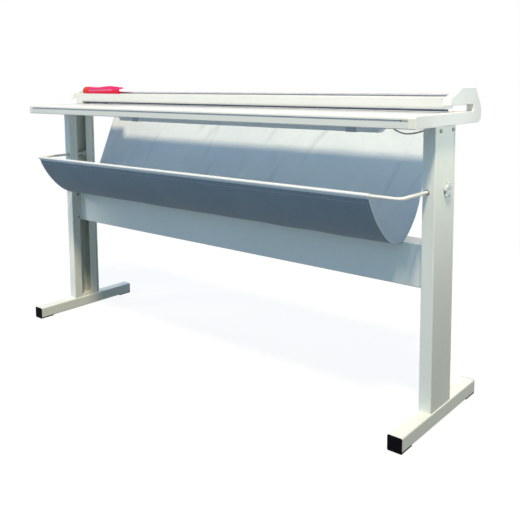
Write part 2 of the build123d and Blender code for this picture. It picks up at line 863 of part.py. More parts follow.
def head_carriage():
    """The head's frame: bush block over the rod, front glide, and the arm behind the beam."""
    x0 = head_left + carriage_left_inset
    x1 = head_right - carriage_right_inset
    under = carriage_top - carriage_plate
    body = slab(x0, x1, carriage_front, carriage_back, under, carriage_top)
    nose_end = lever_pivot_x + lever_ear_radius
    body += slab(x0, nose_end, carriage_front, carriage_front + carriage_nose, under, carriage_top)
    low = beam_top + glide_gap
    body += slab(x0, x1, carriage_front, carriage_front + glide_depth, low, under)
    bush_low = rod_z - bush_lip
    body += slab(x0, x1, rod_back - bush_block_half, rod_back + bush_block_half, bush_low, under)
    body += slab(x0, x1, arm_front, carriage_back, carriage_bottom, under)
    ear_front = roller_y - ear_nose
    for side in (-1, 1):
        x = wheel_x + side * roller_spread
        half = roller_height / 2 + ear_gap
        for z0 in (roller_z - half - ear_thickness, roller_z + half):
            body += slab(x - ear_width / 2, x + ear_width / 2, ear_front, arm_front, z0, z0 + ear_thickness)
        body -= pin_z(
            roller_pin_radius + seat_gap, roller_z - half - ear_thickness - over,
            roller_z + half + ear_thickness + over, x, roller_y,
        )
    body -= pin_x(bush_radius + bush_gap, x0 - over, x1 + over, rod_back, rod_z)
    body -= slab(
        x0 - over, x1 + over, rod_back - bush_radius, rod_back + bush_radius, bush_low - over, bush_low
    )
    body -= pin_y(axle_radius + seat_gap, arm_front - over, carriage_back + over, wheel_x, wheel_z)
    body += slab(
        lever_pivot_x - lever_ear_radius, lever_pivot_x + lever_ear_radius,
        lever_ear_front, lever_ear_rear, carriage_top, lever_pivot_z,
    )
    body += pin_y(lever_ear_radius, lever_ear_front, lever_ear_rear, lever_pivot_x, lever_pivot_z)
    body -= pin_y(
        lever_pin_radius + seat_gap, lever_ear_front - over, lever_ear_rear + over,
        lever_pivot_x, lever_pivot_z,
    )
    for x, y in cover_screw_places():
        body -= pin_z(cover_screw_radius + thread_gap, under - over, carriage_top + over, x, y)
    return body


def cover_screw_places():
    y = carriage_front + glide_depth + cover_boss_radius
    carriage_right = head_right - carriage_right_inset
    return [(head_left + cover_screw_inset, y), (carriage_right - cover_screw_right_inset, y)]


def slide_bushes():
    """Two open bushes round the rod, one at each end of the head."""
    ring = Circle(bush_radius) - Circle(rod_radius + running_gap)
    slot_half = rib_width / 2 + rib_gap
    mouth = Pos(0, -bush_radius / 2 - over) * Rectangle(2 * slot_half, bush_radius + 2 * over)
    foot_cut = Pos(0, -bush_lip - bush_radius / 2) * Rectangle(2 * bush_radius + over, bush_radius)
    face = Pos(rod_back, rod_z) * (ring - mouth - foot_cut)
    x0 = head_left + carriage_left_inset
    x1 = head_right - carriage_right_inset
    return group([along_x(face, x0, x0 + bush_length), along_x(face, x1 - bush_length, x1)])


def cover_side(inset, drop):
    """The cover's side profile, drawn in by the wall for the hollow inside it."""
    height = cover_top - cover_bottom
    squeeze = 1 - 2 * inset / head_length
    points = []
    radii = []
    for (x_share, z_share), r_share in zip(cover_side_shares, cover_side_radii_shares):
        low = z_share == 0
        x = head_middle + (x_share - 1 / 2) * head_length * squeeze
        points.append((x, cover_bottom + z_share * height - (drop if low else inset)))
        radii.append(r_share * height)
    return outline(points, radii)


def cover_plan(inset):
    """The cover from above: its right end slants back from a narrow tip at the front."""
    slope = cover_taper / (cover_rear - cover_front)
    line = head_right - inset * hypot(1, slope)
    y0 = cover_front + inset
    y1 = cover_rear - inset
    face = outline(
        [
            (head_left + inset, y0), (line - slope * inset, y0),
            (line - slope * (y1 - cover_front), y1), (head_left + inset, y1),
        ],
        [
            cover_end_radius - inset, max(cover_tip_radius - inset, 0),
            2 * cover_end_radius - inset, cover_end_radius - inset,
        ],
    )
    return Pos(0, 0, cover_bottom - over) * extrude(face, cover_top - cover_bottom + 2 * over)


def cover_section(inset, low):
    """The cover's cross section: sides that lean in a little, and rounded shoulders."""
    shoulder = cover_shoulder_share * (cover_top - cover_brim)
    y0 = cover_front
    y1 = cover_rear
    waist = cover_brim + 2 * shoulder - inset / 2
    return outline(
        [
            (y0 + inset, low), (y0 + (cover_wall + 2 * inset) / 2, waist),
            (y0 + 2 * shoulder + inset / 2, cover_top - inset),
            (y1 - 2 * shoulder - inset / 2, cover_top - cover_rear_drop - inset),
            (y1 - inset, waist), (y1 - inset, low),
        ],
        [0, shoulder - inset, shoulder - inset, shoulder - inset, shoulder - inset, 0],
    )


def grip_groove(grow):
    """The groove for the fingers along the cover's front, a bar with round ends."""
    radius = grip_radius + grow
    left, right = [head_left + share * head_length for share in grip_end_shares]
    y = cover_front + grip_depth - grip_radius
    start = Vector(left, y, cover_brim + grip_left_lift)
    end = Vector(right, y, cover_brim + grip_right_lift)
    face = Plane(origin=start, z_dir=end - start) * Circle(radius)
    bar = extrude(face, (end - start).length)
    return bar + Pos(start) * Sphere(radius) + Pos(end) * Sphere(radius)


def head_cover():
    """The moulded grip: side, plan and cross section carried through each other, then hollowed."""
    w = cover_wall
    block = along_y(cover_side(0, 0), cover_front, cover_rear) & cover_plan(0)
    outer = block & along_x(cover_section(0, cover_brim), head_left, head_right)
    outer += block & slab(head_left, head_right, cover_lap, cover_rear, cover_bottom, cover_brim + w)
    outer -= grip_groove(0)
    inner = along_y(cover_side(w, over), cover_front, cover_rear) & cover_plan(w)
    inner &= along_x(cover_section(w, cover_bottom - over), head_left + w, head_right - w)
    inner -= grip_groove(w)
    cover = outer - inner
    bush_room = bush_radius + w
    slant_end = head_right - cover_taper
    for x0, x1 in ((head_left - over, head_left + 4 * w), (slant_end, head_right + over)):
        cover -= slab(x0, x1, rod_back - bush_room, rod_back + bush_room, cover_brim - over, rod_z)
        cover -= pin_x(bush_room, x0, x1, rod_back, rod_z)
    cover -= slab(
        lever_pivot_x - lever_eye_radius - 2 * lever_slot_gap, head_right + over,
        lever_front - lever_slot_gap, lever_rear + lever_slot_gap,
        carriage_top, cover_top + over,
    )
    hole_top = carriage_top + cover_screw_length + thread_gap
    for x, y in cover_screw_places():
        cover += pin_z(cover_boss_radius, carriage_top, cover_top, x, y) & outer
        cover -= pin_z(cover_screw_radius + thread_gap, carriage_top - over, hole_top, x, y)
    return cover


def cover_screws():
    under = carriage_top - carriage_plate
    screws = []
    for x, y in cover_screw_places():
        head = pin_z(cover_screw_head_radius, under - cover_screw_head_height, under, x, y)
        screws.append(head + pin_z(cover_screw_radius, under, carriage_top + cover_screw_length, x, y))
    return group(screws)


def thumb_lever():
    """Lever with a rounded tip, whose forked root is hinged on the carriage's ear."""
    tip = lever_pivot_x - lever_eye_radius + lever_length
    z = lever_pivot_z
    half = lever_thickness / 2
    face = outline(
        [
            (lever_pivot_x, z - half), (tip, z - half / 2), (tip, z + half), (lever_pivot_x, z + half)
        ],
        [0, lever_edge, lever_edge, 0],
    )
    round_end = tip - lever_width / 2
    plan = slab(lever_pivot_x, round_end, lever_front, lever_rear, z - half, z + half)
    plan += pin_z(lever_width / 2, z - half, z + half, round_end, (lever_front + lever_rear) / 2)
    lever = along_y(face, lever_front, lever_rear) & plan
    lever += pin_y(lever_eye_radius, lever_front, lever_rear, lever_pivot_x, z)
    lever -= slab(
        lever_pivot_x - lever_eye_radius - over, lever_pivot_x + lever_ear_radius + lever_fork_room,
        lever_ear_front - lever_ear_gap, lever_ear_rear + lever_ear_gap,
        z - lever_eye_radius - over, z + lever_eye_radius + over,
    )
    return lever - pin_y(
        lever_pin_radius + running_gap, lever_front - over, lever_rear + over, lever_pivot_x, z
    )


def lever_pin():
    return pin_y(lever_pin_radius, lever_front, lever_rear, lever_pivot_x, lever_pivot_z)


def cutting_wheel():
    blade = pin_y(wheel_radius, wheel_front, wheel_front + wheel_thickness, wheel_x, wheel_z)
    rim = blade.edges().filter_by(GeomType.CIRCLE).sort_by(Axis.Y)[-1]
    blade = chamfer(rim, wheel_bevel)
    hub = pin_y(hub_radius, wheel_front + wheel_thickness, hub_end, wheel_x, wheel_z)
    bore = pin_y(axle_radius + running_gap, wheel_front - over, hub_end + over, wheel_x, wheel_z)
    return blade + hub - bore


def wheel_axle():
    head_end = wheel_front - running_gap
    head = pin_y(axle_head_radius, head_end - axle_head, head_end, wheel_x, wheel_z)
    return head + pin_y(axle_radius, head_end, carriage_back, wheel_x, wheel_z)


def wheel_washer():
    """A coned spring washer that pushes the wheel against the knife."""
    front = hub_end + running_gap
    back = arm_front
    inner = axle_radius + bolt_clearance
    t = washer_thickness
    points = [(inner, front), (inner, front + t), (washer_radius, back), (washer_radius, back - t)]
    face = make_face(Polyline(*points, close=True))
    ring = revolve(face, Axis.Y)
    return Pos(wheel_x, 0, wheel_z) * ring


def guide_roller(side):
    x = wheel_x + side * roller_spread
    z0 = roller_z - roller_height / 2
    z1 = roller_z + roller_height / 2
    wheel = pin_z(roller_radius, z0, z1, x, roller_y)
    return wheel - pin_z(roller_pin_radius + running_gap, z0 - over, z1 + over, x, roller_y)


def roller_pins():
    half = roller_height / 2 + ear_gap + ear_thickness
    pins = []
    for side in (-1, 1):
        x = wheel_x + side * roller_spread
        pins.append(pin_z(roller_pin_radius, roller_z - half, roller_z + half, x, roller_y))
    return group(pins)


def catch_rod():
    x = catch_rod_spread
    z = catch_rod_height
    path = FilletPolyline(
        (-x, catch_rod_end, z), (-x, catch_rod_front, z), (x, catch_rod_front, z), (x, catch_rod_end, z),
        radius=catch_rod_bend,
    )
    face = Plane(origin=(-x, catch_rod_end, z), z_dir=(0, -1, 0)) * Circle(catch_rod_radius)
    return sweep(face, path=path)


def rod_bush():
    x = catch_rod_spread
    z = catch_rod_height
    flange = pin_y(rod_bush_flange_radius, -post_front - rod_bush_flange, -post_front, x, z)
    body = pin_y(rod_bush_radius, -post_front, 2 * post_wall - post_front, x, z)
    bore = pin_y(
        catch_rod_radius + rod_bush_gap, -post_front - rod_bush_flange - over,
        2 * post_wall - post_front + over, x, z,
    )
    return flange + body - bore


def rod_clamp():
    """Block inside the post round the rod, which the knob's stud presses from the side."""
    y0 = clamp_block_front
    y1 = y0 + clamp_block_depth
    z = catch_rod_height
    block = slab(
        post_inner + post_wall + clamp_block_inset, post_web, y0, y1,
        z - clamp_block_half, z + clamp_block_half,
    )
    block -= pin_y(catch_rod_radius + rod_bush_gap, y0 - over, y1 + over, catch_rod_spread, z)
    block -= pin_x(stud_radius + running_gap, catch_rod_spread, post_web + over, knob_y, z)
    return block


def knob():
    """Flat lobed knob with its stud, on the post's outer face."""
    z = catch_rod_height
    face = Circle(knob_radius)
    place = knob_radius + knob_notch_radius / 3
    for i in range(knob_lobes):
        turn = radians(90 + 360 * (i + 1 / 2) / knob_lobes)
        face -= Pos(place * cos(turn), place * sin(turn)) * Circle(knob_notch_radius)
    x0 = post_outer + knob_stand
    x1 = x0 + knob_thickness
    grip = Pos(x0, knob_y, z) * extrude(Plane.YZ * face, knob_thickness)
    grip = chamfer(grip.faces().sort_by(Axis.X)[-1].edges(), knob_edge)
    hub = pin_x(knob_hub_radius, post_outer + knob_face_gap, x0, knob_y, z)
    recess = pin_x(knob_hub_radius / 2, x1 - knob_hub_recess, x1 + over, knob_y, z)
    stud = pin_x(stud_radius, stud_tip, x0, knob_y, z)
    return grip + hub + stud - recess


def bend(start, heading, radius, turn):
    """An arc that leaves in the heading and turns right; both angles are in degrees."""
    way = (cos(radians(heading)), sin(radians(heading)))
    arc = JernArc(start=start, tangent=way, radius=radius, arc_size=-turn)
    return arc, heading - turn


def cloth_path():
    """The cloth's line from the rear rail down and up to the rod."""
    heading = -90.0
    start = (bead_y, bead_z)
    edges = [Line(start, (bead_y, bead_z - cloth_drop))]
    arc, heading = bend(edges[-1] @ 1, heading, cloth_edge_radius, cloth_rear_lean)
    edges.append(arc)
    top = arc @ 1
    way = Vector(cos(radians(heading)), sin(radians(heading)))
    edges.append(Line(top, top + way * cloth_rear_length))
    for radius, turn in (
        (cloth_upper_radius, cloth_upper_turn),
        (cloth_low_radius, cloth_low_turn),
        (cloth_front_radius, cloth_front_turn),
    ):
        arc, heading = bend(edges[-1] @ 1, heading, radius, turn)
        edges.append(arc)
    hem = (catch_rod_front, catch_rod_height - catch_rod_radius - hem_gap - hem_wall / 2)
    edges.append(TangentArc(edges[-1] @ 1, hem, tangent=edges[-1] % 1))
    return edges


def catch_cloth():
    """Cloth hung as a trough, with a bead at the rear edge and a hem round the rod."""
    line = Wire(cloth_path())
    print("catch cloth, from bead to rod:", round(line.length, 1))
    bead = Pos(bead_y, bead_z) * Circle(bead_radius)
    hem = Pos(catch_rod_front, catch_rod_height) * (
        Circle(catch_rod_radius + hem_gap + hem_wall) - Circle(catch_rod_radius + hem_gap)
    )
    return along_x(trace(line, cloth_thickness) + bead + hem, cloth_left, cloth_right)


def lamp_housing():
    """Open-topped sheet tray with the lower corner of each end cut off."""
    half = lamp_half
    t = lamp_sheet
    y0 = lamp_front
    y1 = lamp_front + lamp_depth
    z0 = lamp_bottom
    z1 = table_underside
    side = [
        (-half, z1), (-half, z0 + lamp_chamfer), (lamp_chamfer - half, z0),
        (half - lamp_chamfer, z0), (half, z0 + lamp_chamfer), (half, z1),
    ]
    inner = [
        (t - half, z1 + over), (t - half, z0 + lamp_chamfer + t / 2),
        (lamp_chamfer - half + t / 2, z0 + t), (half - lamp_chamfer - t / 2, z0 + t),
        (half - t, z0 + lamp_chamfer + t / 2), (half - t, z1 + over),
    ]
    shell = along_y(make_face(Polyline(*side, close=True)), y0, y1)
    return shell - along_y(make_face(Polyline(*inner, close=True)), y0 + t, y1 - t)


def lamp_tube():
    return pin_x(tube_radius, -tube_length / 2, tube_length / 2, tube_y, tube_z)


def lamp_holder():
    x0 = tube_length / 2 + holder_gap
    z0 = lamp_bottom + lamp_sheet
    y0 = tube_y - holder_width / 2
    return slab(x0, x0 + holder_thickness, y0, y0 + holder_width, z0, table_underside - holder_headroom)


def lamp_straps():
    """Sheet clips that hold the tray under the table panel."""
    t = strap_sheet
    y0 = lamp_front
    y1 = lamp_front + lamp_depth
    z0 = lamp_bottom
    z1 = table_underside
    points = [
        (y0 - strap_ear, z1), (y0 - strap_ear, z1 - t), (y0 - t, z1 - t), (y0 - t, z0 - t),
        (y1 + t, z0 - t), (y1 + t, z1 - 2 * t), (y1, z1 - 2 * t), (y1, z0), (y0, z0), (y0, z1),
    ]
    face = make_face(Polyline(*points, close=True))
    hole_y = lamp_front - strap_ear / 2
    straps = []
    for x in (-strap_place, strap_place):
        strap = along_x(face, x - strap_width / 2, x + strap_width / 2)
        strap -= pin_z(strap_screw_radius + bolt_clearance, z1 - t - over, z1 + over, x, hole_y)
        straps.append(strap)
    return group(straps)


def strap_screws():
    under = table_underside - strap_sheet
    y = lamp_front - strap_ear / 2
    screws = []
    for x in (-strap_place, strap_place):
        head = pin_z(strap_screw_head_radius, under - strap_screw_head_height, under, x, y)
        screws.append(head + pin_z(strap_screw_radius, under, under + strap_screw_length, x, y))
    return group(screws)


def lead_gland():
    y = lamp_front + lead_exit_back
    z = lamp_bottom + lead_exit_lift
    base = (Align.CENTER, Align.CENTER, Align.MIN)
    cone = Cone(gland_radius, gland_tip_radius, gland_length, align=base)
    return Pos(lamp_half, y, z) * Rot(0, 90, 0) * cone


def lead_box():
    """The lamp's connection box inside the right post."""
    x1 = post_web - bracket_sheet
    x0 = x1 - box_depth
    box = slab(x0, x1, -box_half_width, box_half_width, box_bottom, box_bottom + box_height)
    z = box_bottom + box_lead_lift
    return box + pin_x(box_snout_radius, x0 - box_snout, x0, 0, z)


def lamp_lead():
    """The lamp's lead: straight runs joined by arcs, each as large as its runs allow."""
    start = Vector(lamp_half + gland_length, lamp_front + lead_exit_back, lamp_bottom + lead_exit_lift)
    end = Vector(post_web - bracket_sheet - box_depth - box_snout, 0, box_bottom + box_lead_lift)
    points = [start] + [Vector(*p) for p in lead_bends] + [end]
    radii = []
    for before, at, after in zip(points, points[1:], points[2:]):
        turn = (at - before).get_angle(after - at)
        shorter = min((at - before).length, (after - at).length)
        radii.append(0.45 * shorter / tan(radians(turn / 2)))
    print("lead bend radii:", [round(r, 1) for r in radii])
    path = FilletPolyline(*points, radius=radii)
    face = Plane(origin=start, z_dir=path % 0) * Circle(lead_diameter / 2)
    tube = sweep(face, path=path)
    ideal = face.area * path.length
    print("lead length:", round(path.length, 1), "volume ratio:", round(tube.volume / ideal, 4))
    return tube


def build():
    os.makedirs("parts", exist_ok=True)
    both_sides("foot", foot())
    for side, place in ((-1, "front"), (1, "rear")):
        cap = foot_cap(side)
        save("foot_cap_right_" + place, cap)
        save("foot_cap_left_" + place, mirrored(cap))
    both_sides("post", post())
    both_sides("post_cover", post_cover())
    save("base_bolts", base_bolts())
    save("stretcher", stretcher())
    save("stretcher_ends", stretcher_ends())
    save("stretcher_bolts", stretcher_bolts())
    both_sides("table_bracket", table_bracket())
    save("bracket_bolts", bracket_bolts())
    save("bracket_screws", bracket_screws())
    save("table_panel", table_panel())
    save("front_profile", front_profile())
    save("groove_insert", groove_insert())
    save("knife", knife())
    save("knife_screws", knife_screws())
    save("rear_rail", rear_rail())
    both_sides("cheek", cheek())
    save("beam", beam())
    save("beam_cap_left", beam_cap_with_foot())
    save("beam_cap_right", beam_cap_plain())
    save("head_rod", head_rod())
    save("clamp_strip", clamp_strip())
    save("head_carriage", head_carriage())
    save("slide_bushes", slide_bushes())
    save("head_cover", head_cover())
    save("cover_screws", cover_screws())
    save("thumb_lever", thumb_lever())
    save("lever_pin", lever_pin())
    save("cutting_wheel", cutting_wheel())
    save("wheel_axle", wheel_axle())
    save("wheel_washer", wheel_washer())
    save("guide_roller_left", guide_roller(-1))
    save("guide_roller_right", guide_roller(1))
    save("roller_pins", roller_pins())
    save("catch_rod", catch_rod())
    both_sides("rod_bush", rod_bush())
    both_sides("rod_clamp", rod_clamp())
    both_sides("knob", knob())
    save("catch_cloth", catch_cloth())
    save("lamp_housing", lamp_housing())
    save("lamp_tube", lamp_tube())
    both_sides("lamp_holder", lamp_holder())
    save("lamp_straps", lamp_straps())
    save("strap_screws", strap_screws())
    save("lead_gland", lead_gland())
    save("lead_box", lead_box())
    save("lamp_lead", lamp_lead())


build()
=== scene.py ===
import json
from math import cos, pi, radians, sin

import bpy
import numpy as np
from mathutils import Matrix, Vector


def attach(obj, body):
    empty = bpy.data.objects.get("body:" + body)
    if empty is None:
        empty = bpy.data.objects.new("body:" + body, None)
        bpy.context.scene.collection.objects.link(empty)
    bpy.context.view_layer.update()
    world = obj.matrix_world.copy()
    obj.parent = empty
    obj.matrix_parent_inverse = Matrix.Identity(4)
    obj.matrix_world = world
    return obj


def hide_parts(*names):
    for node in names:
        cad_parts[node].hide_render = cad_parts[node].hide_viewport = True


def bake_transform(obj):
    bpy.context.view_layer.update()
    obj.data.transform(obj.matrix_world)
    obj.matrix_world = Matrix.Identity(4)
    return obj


# a paper trimmer on its stand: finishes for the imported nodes, and the lead, the catch cloth and its stitches
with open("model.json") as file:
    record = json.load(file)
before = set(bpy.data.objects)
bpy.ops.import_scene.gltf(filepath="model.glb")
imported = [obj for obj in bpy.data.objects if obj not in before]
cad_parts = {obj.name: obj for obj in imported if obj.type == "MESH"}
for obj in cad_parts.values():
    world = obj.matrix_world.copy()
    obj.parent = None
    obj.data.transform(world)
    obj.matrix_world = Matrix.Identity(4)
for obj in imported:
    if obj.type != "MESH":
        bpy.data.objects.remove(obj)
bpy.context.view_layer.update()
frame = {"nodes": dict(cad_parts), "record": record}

# camera, fitted to the stand's and the table's corners in a picture of 520 x 520 points
camera = {
    "place": (1.729, -1.836, 1.006),
    "yaw": 40.0,                 # degrees to the left of straight on
    "pitch": 6.0,                # degrees down
    "roll": -0.43,
    "focalPoints": 692.0,
    "picture": 520.0,
    "middleRow": 153.5,          # where the lens axis meets the picture
    "sensor": 36.0,
}


def makeCamera():
    yaw, pitch, roll = [radians(camera[key]) for key in ("yaw", "pitch", "roll")]
    forward = Vector((-sin(yaw) * cos(pitch), cos(yaw) * cos(pitch), -sin(pitch)))
    right = Vector((cos(yaw), sin(yaw), 0))
    up = right.cross(forward)
    lens = bpy.data.cameras.new("viewLens")
    lens.sensor_width = camera["sensor"]
    lens.lens = camera["focalPoints"] / camera["picture"] * camera["sensor"]
    lens.shift_y = (camera["middleRow"] - camera["picture"] / 2) / camera["picture"]
    made = bpy.data.objects.new("viewCamera", lens)
    bpy.context.scene.collection.objects.link(made)
    axes = (right * cos(roll) + up * sin(roll), up * cos(roll) - right * sin(roll), -forward)
    for column, axis in enumerate(axes):
        for row in range(3):
            made.matrix_world[row][column] = axis[row]
    made.location = camera["place"]
    bpy.context.scene.camera = made


makeCamera()


# mesh helpers
def gridFaces(rows, columns, closeColumns=False):
    # four corners of every cell of a grid of points, counted row by row
    i = np.arange(rows - 1)[:, None]
    j = np.arange(columns if closeColumns else columns - 1)[None, :]
    nextJ = (j + 1) % columns
    corners = [i * columns + j, (i + 1) * columns + j, (i + 1) * columns + nextJ, i * columns + nextJ]
    return np.stack([corner.ravel() for corner in np.broadcast_arrays(*corners)], axis=1)


def tubeFaces(rings, sides):
    # the cells between the rings, then the rings that close the two ends, the last one counted backwards
    around = np.arange(sides)
    caps = np.array([around, (rings - 1) * sides + around[::-1]])
    return gridFaces(rings, sides, closeColumns=True), caps


def unit(rows):
    # each row over its own length
    return rows / np.linalg.norm(rows, axis=1)[:, None]


def meshPiece(name, points, faces, smooth=True):
    mesh = bpy.data.meshes.new(name)
    mesh.from_pydata(points.reshape(-1, 3).tolist(), [], faces)
    mesh.polygons.foreach_set("use_smooth", np.full(len(mesh.polygons), smooth))
    mesh.update()
    made = bpy.data.objects.new(name, mesh)
    bpy.context.scene.collection.objects.link(made)
    return made


# lead from the lamp tray's gland to the box in the right post
lead = {
    "diameter": 0.0046,
    "length": 0.211,
    "sides": 18,
    "steps": 12,                 # of the spline between two of its points
    "route": [
        (0.652, 0.060, 0.862), (0.668, 0.060, 0.862), (0.688, 0.056, 0.850), (0.722, 0.046, 0.842),
        (0.764, 0.031, 0.847), (0.803, 0.012, 0.858), (0.828, 0.000, 0.8635), (0.8465, 0.000, 0.8635),
    ],
}


def leadPath():
    # points of the route's spline
    curve = bpy.data.curves.new("leadLine", "CURVE")
    curve.dimensions = "3D"
    spline = curve.splines.new("NURBS")
    spline.points.add(len(lead["route"]) - 1)
    for point, spot in zip(spline.points, lead["route"]):
        point.co = (*spot, 1)
    spline.order_u = 3
    spline.use_endpoint_u = True
    spline.resolution_u = lead["steps"]
    line = bpy.data.objects.new("leadLine", curve)
    read = bpy.data.meshes.new_from_object(line)
    points = np.zeros((len(read.vertices), 3))
    read.vertices.foreach_get("co", points.ravel())
    bpy.data.objects.remove(line)
    bpy.data.meshes.remove(read)
    bpy.data.curves.remove(curve)
    return points


def makeLead():
    # a ring square to the path at each of its points: the sideways and the upward unit, by cosine and sine
    path = leadPath()
    way = unit(np.gradient(path, axis=0))
    aside = unit(np.cross(way, (0, 0, 1)))
    upward = np.cross(aside, way)
    turn = np.linspace(0, 2 * pi, lead["sides"], endpoint=False)[None, :, None]
    around = np.cos(turn) * aside[:, None] + np.sin(turn) * upward[:, None]
    points = path[:, None] + lead["diameter"] / 2 * around
    cells, caps = tubeFaces(len(path), lead["sides"])
    made = meshPiece("lampLeadCord", points, cells.tolist() + caps.tolist())
    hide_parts("lamp_lead")
    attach(made, "root")
    return made


leadCord = makeLead()
print("camera and lead made")


# shader helpers
def setOrLink(tree, sockets, values):
    for key, value in values.items():
        if isinstance(value, bpy.types.NodeSocket):
            tree.links.new(value, sockets[key])
        else:
            sockets[key].default_value = value


def place(tree, kind, inputs, **settings):
    made = tree.nodes.new("ShaderNode" + kind)
    for key, value in settings.items():
        setattr(made, key, value)
    setOrLink(tree, made.inputs, inputs)
    return made.outputs


def grouped(tree, effect, inputs):
    made = tree.nodes.new("ShaderNodeGroup")
    made.node_tree = effects[effect]
    setOrLink(tree, made.inputs, inputs)
    return made.outputs


def maths(tree, operation, first, second=0.0, clamp=False):
    return place(tree, "Math", {0: first, 1: second}, operation=operation, use_clamp=clamp)[0]


def times(tree, first, second, clamp=False):
    return maths(tree, "MULTIPLY", first, second, clamp)


def vectorMaths(tree, operation, first, second):
    return place(tree, "VectorMath", {0: first, 1: second}, operation=operation)


def mixed(tree, factor, first, second):
    return place(tree, "Mix", {0: factor, 6: first, 7: second}, data_type="RGBA")[2]


def spread(tree, value, low, high, toLow=0.0, toHigh=1.0):
    inputs = {"Value": value, "From Min": low, "From Max": high, "To Min": toLow, "To Max": toHigh}
    return place(tree, "MapRange", inputs, interpolation_type="SMOOTHSTEP")[0]


def noiseAt(tree, at, scale, detail, **settings):
    return place(tree, "TexNoise", {"Vector": at, "Scale": scale, "Detail": detail}, **settings)


def objectPlace(tree):
    return place(tree, "TexCoord", {})["Object"]


def surfaceNormal(tree):
    return place(tree, "NewGeometry", {})["Normal"]


def parted(tree, vector):
    return place(tree, "SeparateXYZ", {0: vector})


def colour(values):
    return (*values, 1.0)


def startGroup(name, inputs, outputs):
    group = bpy.data.node_groups.new(name, "ShaderNodeTree")
    for label, kind, value in inputs:
        socket = group.interface.new_socket(label, in_out="INPUT", socket_type="NodeSocket" + kind)
        socket.default_value = value
    for label, kind in outputs:
        group.interface.new_socket(label, in_out="OUTPUT", socket_type="NodeSocket" + kind)
    return group, group.nodes.new("NodeGroupInput").outputs, group.nodes.new("NodeGroupOutput").inputs


# edge wear: how far the rounded normal leans from the flat one, broken up by noise
edgeWear = {
    "lean": (0.995, 0.86),       # cosine between the two normals, from whole to worn
    "patch": (0.42, 0.66),
    "least": 0.15,               # wear that is left between the patches
    "detail": 4.0,
    "samples": 4,
}


def makeEdgeWear():
    group, given, out = startGroup(
        "edgeWear",
        [("Width", "Float", 0.001), ("Amount", "Float", 0.5), ("Patches", "Float", 60.0)],
        [("Mask", "Float")],
    )
    rounded = place(group, "Bevel", {"Radius": given["Width"]}, samples=edgeWear["samples"])[0]
    lean = vectorMaths(group, "DOT_PRODUCT", rounded, surfaceNormal(group))["Value"]
    noise = noiseAt(group, objectPlace(group), given["Patches"], edgeWear["detail"])[0]
    patch = spread(group, noise, *edgeWear["patch"], edgeWear["least"], 1.0)
    edge = times(group, spread(group, lean, *edgeWear["lean"]), patch)
    group.links.new(times(group, edge, given["Amount"], True), out["Mask"])
    return group


# mottle: slow change between two colours with a finer one inside it
mottle = {"finer": 17.0, "slowDetail": 3.0, "fineDetail": 2.0, "slowShare": 0.75, "change": (0.38, 0.62)}


def makeMottle():
    group, given, out = startGroup(
        "mottle",
        [("First", "Color", (1, 1, 1, 1)), ("Second", "Color", (1, 1, 1, 1)), ("Scale", "Float", 4.0)],
        [("Color", "Color"), ("Mask", "Float")],
    )
    at = objectPlace(group)
    slow = noiseAt(group, at, given["Scale"], mottle["slowDetail"])[0]
    fineScale = times(group, given["Scale"], mottle["finer"])
    fine = noiseAt(group, at, fineScale, mottle["fineDetail"])[0]
    share = mottle["slowShare"]
    both = maths(group, "ADD", times(group, slow, share), times(group, fine, 1 - share))
    mask = spread(group, both, *mottle["change"])
    group.links.new(mixed(group, mask, given["First"], given["Second"]), out["Color"])
    group.links.new(mask, out["Mask"])
    return group


# peel: the fine waves of a sprayed coat, or the grain of a mould, as a height and a change of gloss
peel = {"waveDetail": 2.0, "glossScale": 9.0, "glossDetail": 5.0}


def makePeel():
    group, given, out = startGroup(
        "peel",
        [("Scale", "Float", 900.0), ("Gloss", "Float", 0.4), ("Change", "Float", 0.1)],
        [("Height", "Float"), ("Roughness", "Float")],
    )
    at = objectPlace(group)
    waves = noiseAt(group, at, given["Scale"], peel["waveDetail"])[0]
    slow = noiseAt(group, at, peel["glossScale"], peel["glossDetail"])[0]
    change = times(group, maths(group, "SUBTRACT", slow, 0.5), given["Change"])
    group.links.new(waves, out["Height"])
    group.links.new(maths(group, "ADD", given["Gloss"], change, True), out["Roughness"])
    return group


# drawn lines: noise stretched along the length, as extruding, drawing or grinding leaves it
drawnLines = {"detail": 3.0, "mask": (0.35, 0.65)}


def makeDrawnLines():
    group, given, out = startGroup(
        "drawnLines",
        [("Stretch", "Vector", (2.0, 900.0, 900.0)), ("Gloss", "Float", 0.3), ("Change", "Float", 0.2)],
        [("Height", "Float"), ("Roughness", "Float"), ("Mask", "Float")],
    )
    at = vectorMaths(group, "MULTIPLY", objectPlace(group), given["Stretch"])[0]
    lines = noiseAt(group, at, 1.0, drawnLines["detail"])[0]
    change = times(group, maths(group, "SUBTRACT", lines, 0.5), given["Change"])
    group.links.new(lines, out["Height"])
    group.links.new(maths(group, "ADD", given["Gloss"], change, True), out["Roughness"])
    group.links.new(spread(group, lines, *drawnLines["mask"]), out["Mask"])
    return group


# dust: a thin film where the surface looks up, thicker in patches
dust = {"up": (0.55, 0.98), "patch": (0.3, 0.7), "detail": 6.0}


def makeDust():
    group, given, out = startGroup(
        "dust", [("Amount", "Float", 0.2), ("Patches", "Float", 14.0)], [("Mask", "Float")]
    )
    up = spread(group, parted(group, surfaceNormal(group))[2], *dust["up"])
    noise = noiseAt(group, objectPlace(group), given["Patches"], dust["detail"])[0]
    film = times(group, up, spread(group, noise, *dust["patch"]))
    group.links.new(times(group, film, given["Amount"], True), out["Mask"])
    return group


# weave: warp and weft as sine ridges over and under each other in turn, on the cloth's own metres
weave = {
    "wander": 160.0,
    "wanderDetail": 2.0,
    "over": 0.35,                # height of a crossing against a ridge
    "gap": (0.75, 0.35),
    "slubStretch": (40.0, 900.0, 1.0),
    "slubDetail": 3.0,
    "slub": (0.4, 0.75),
}


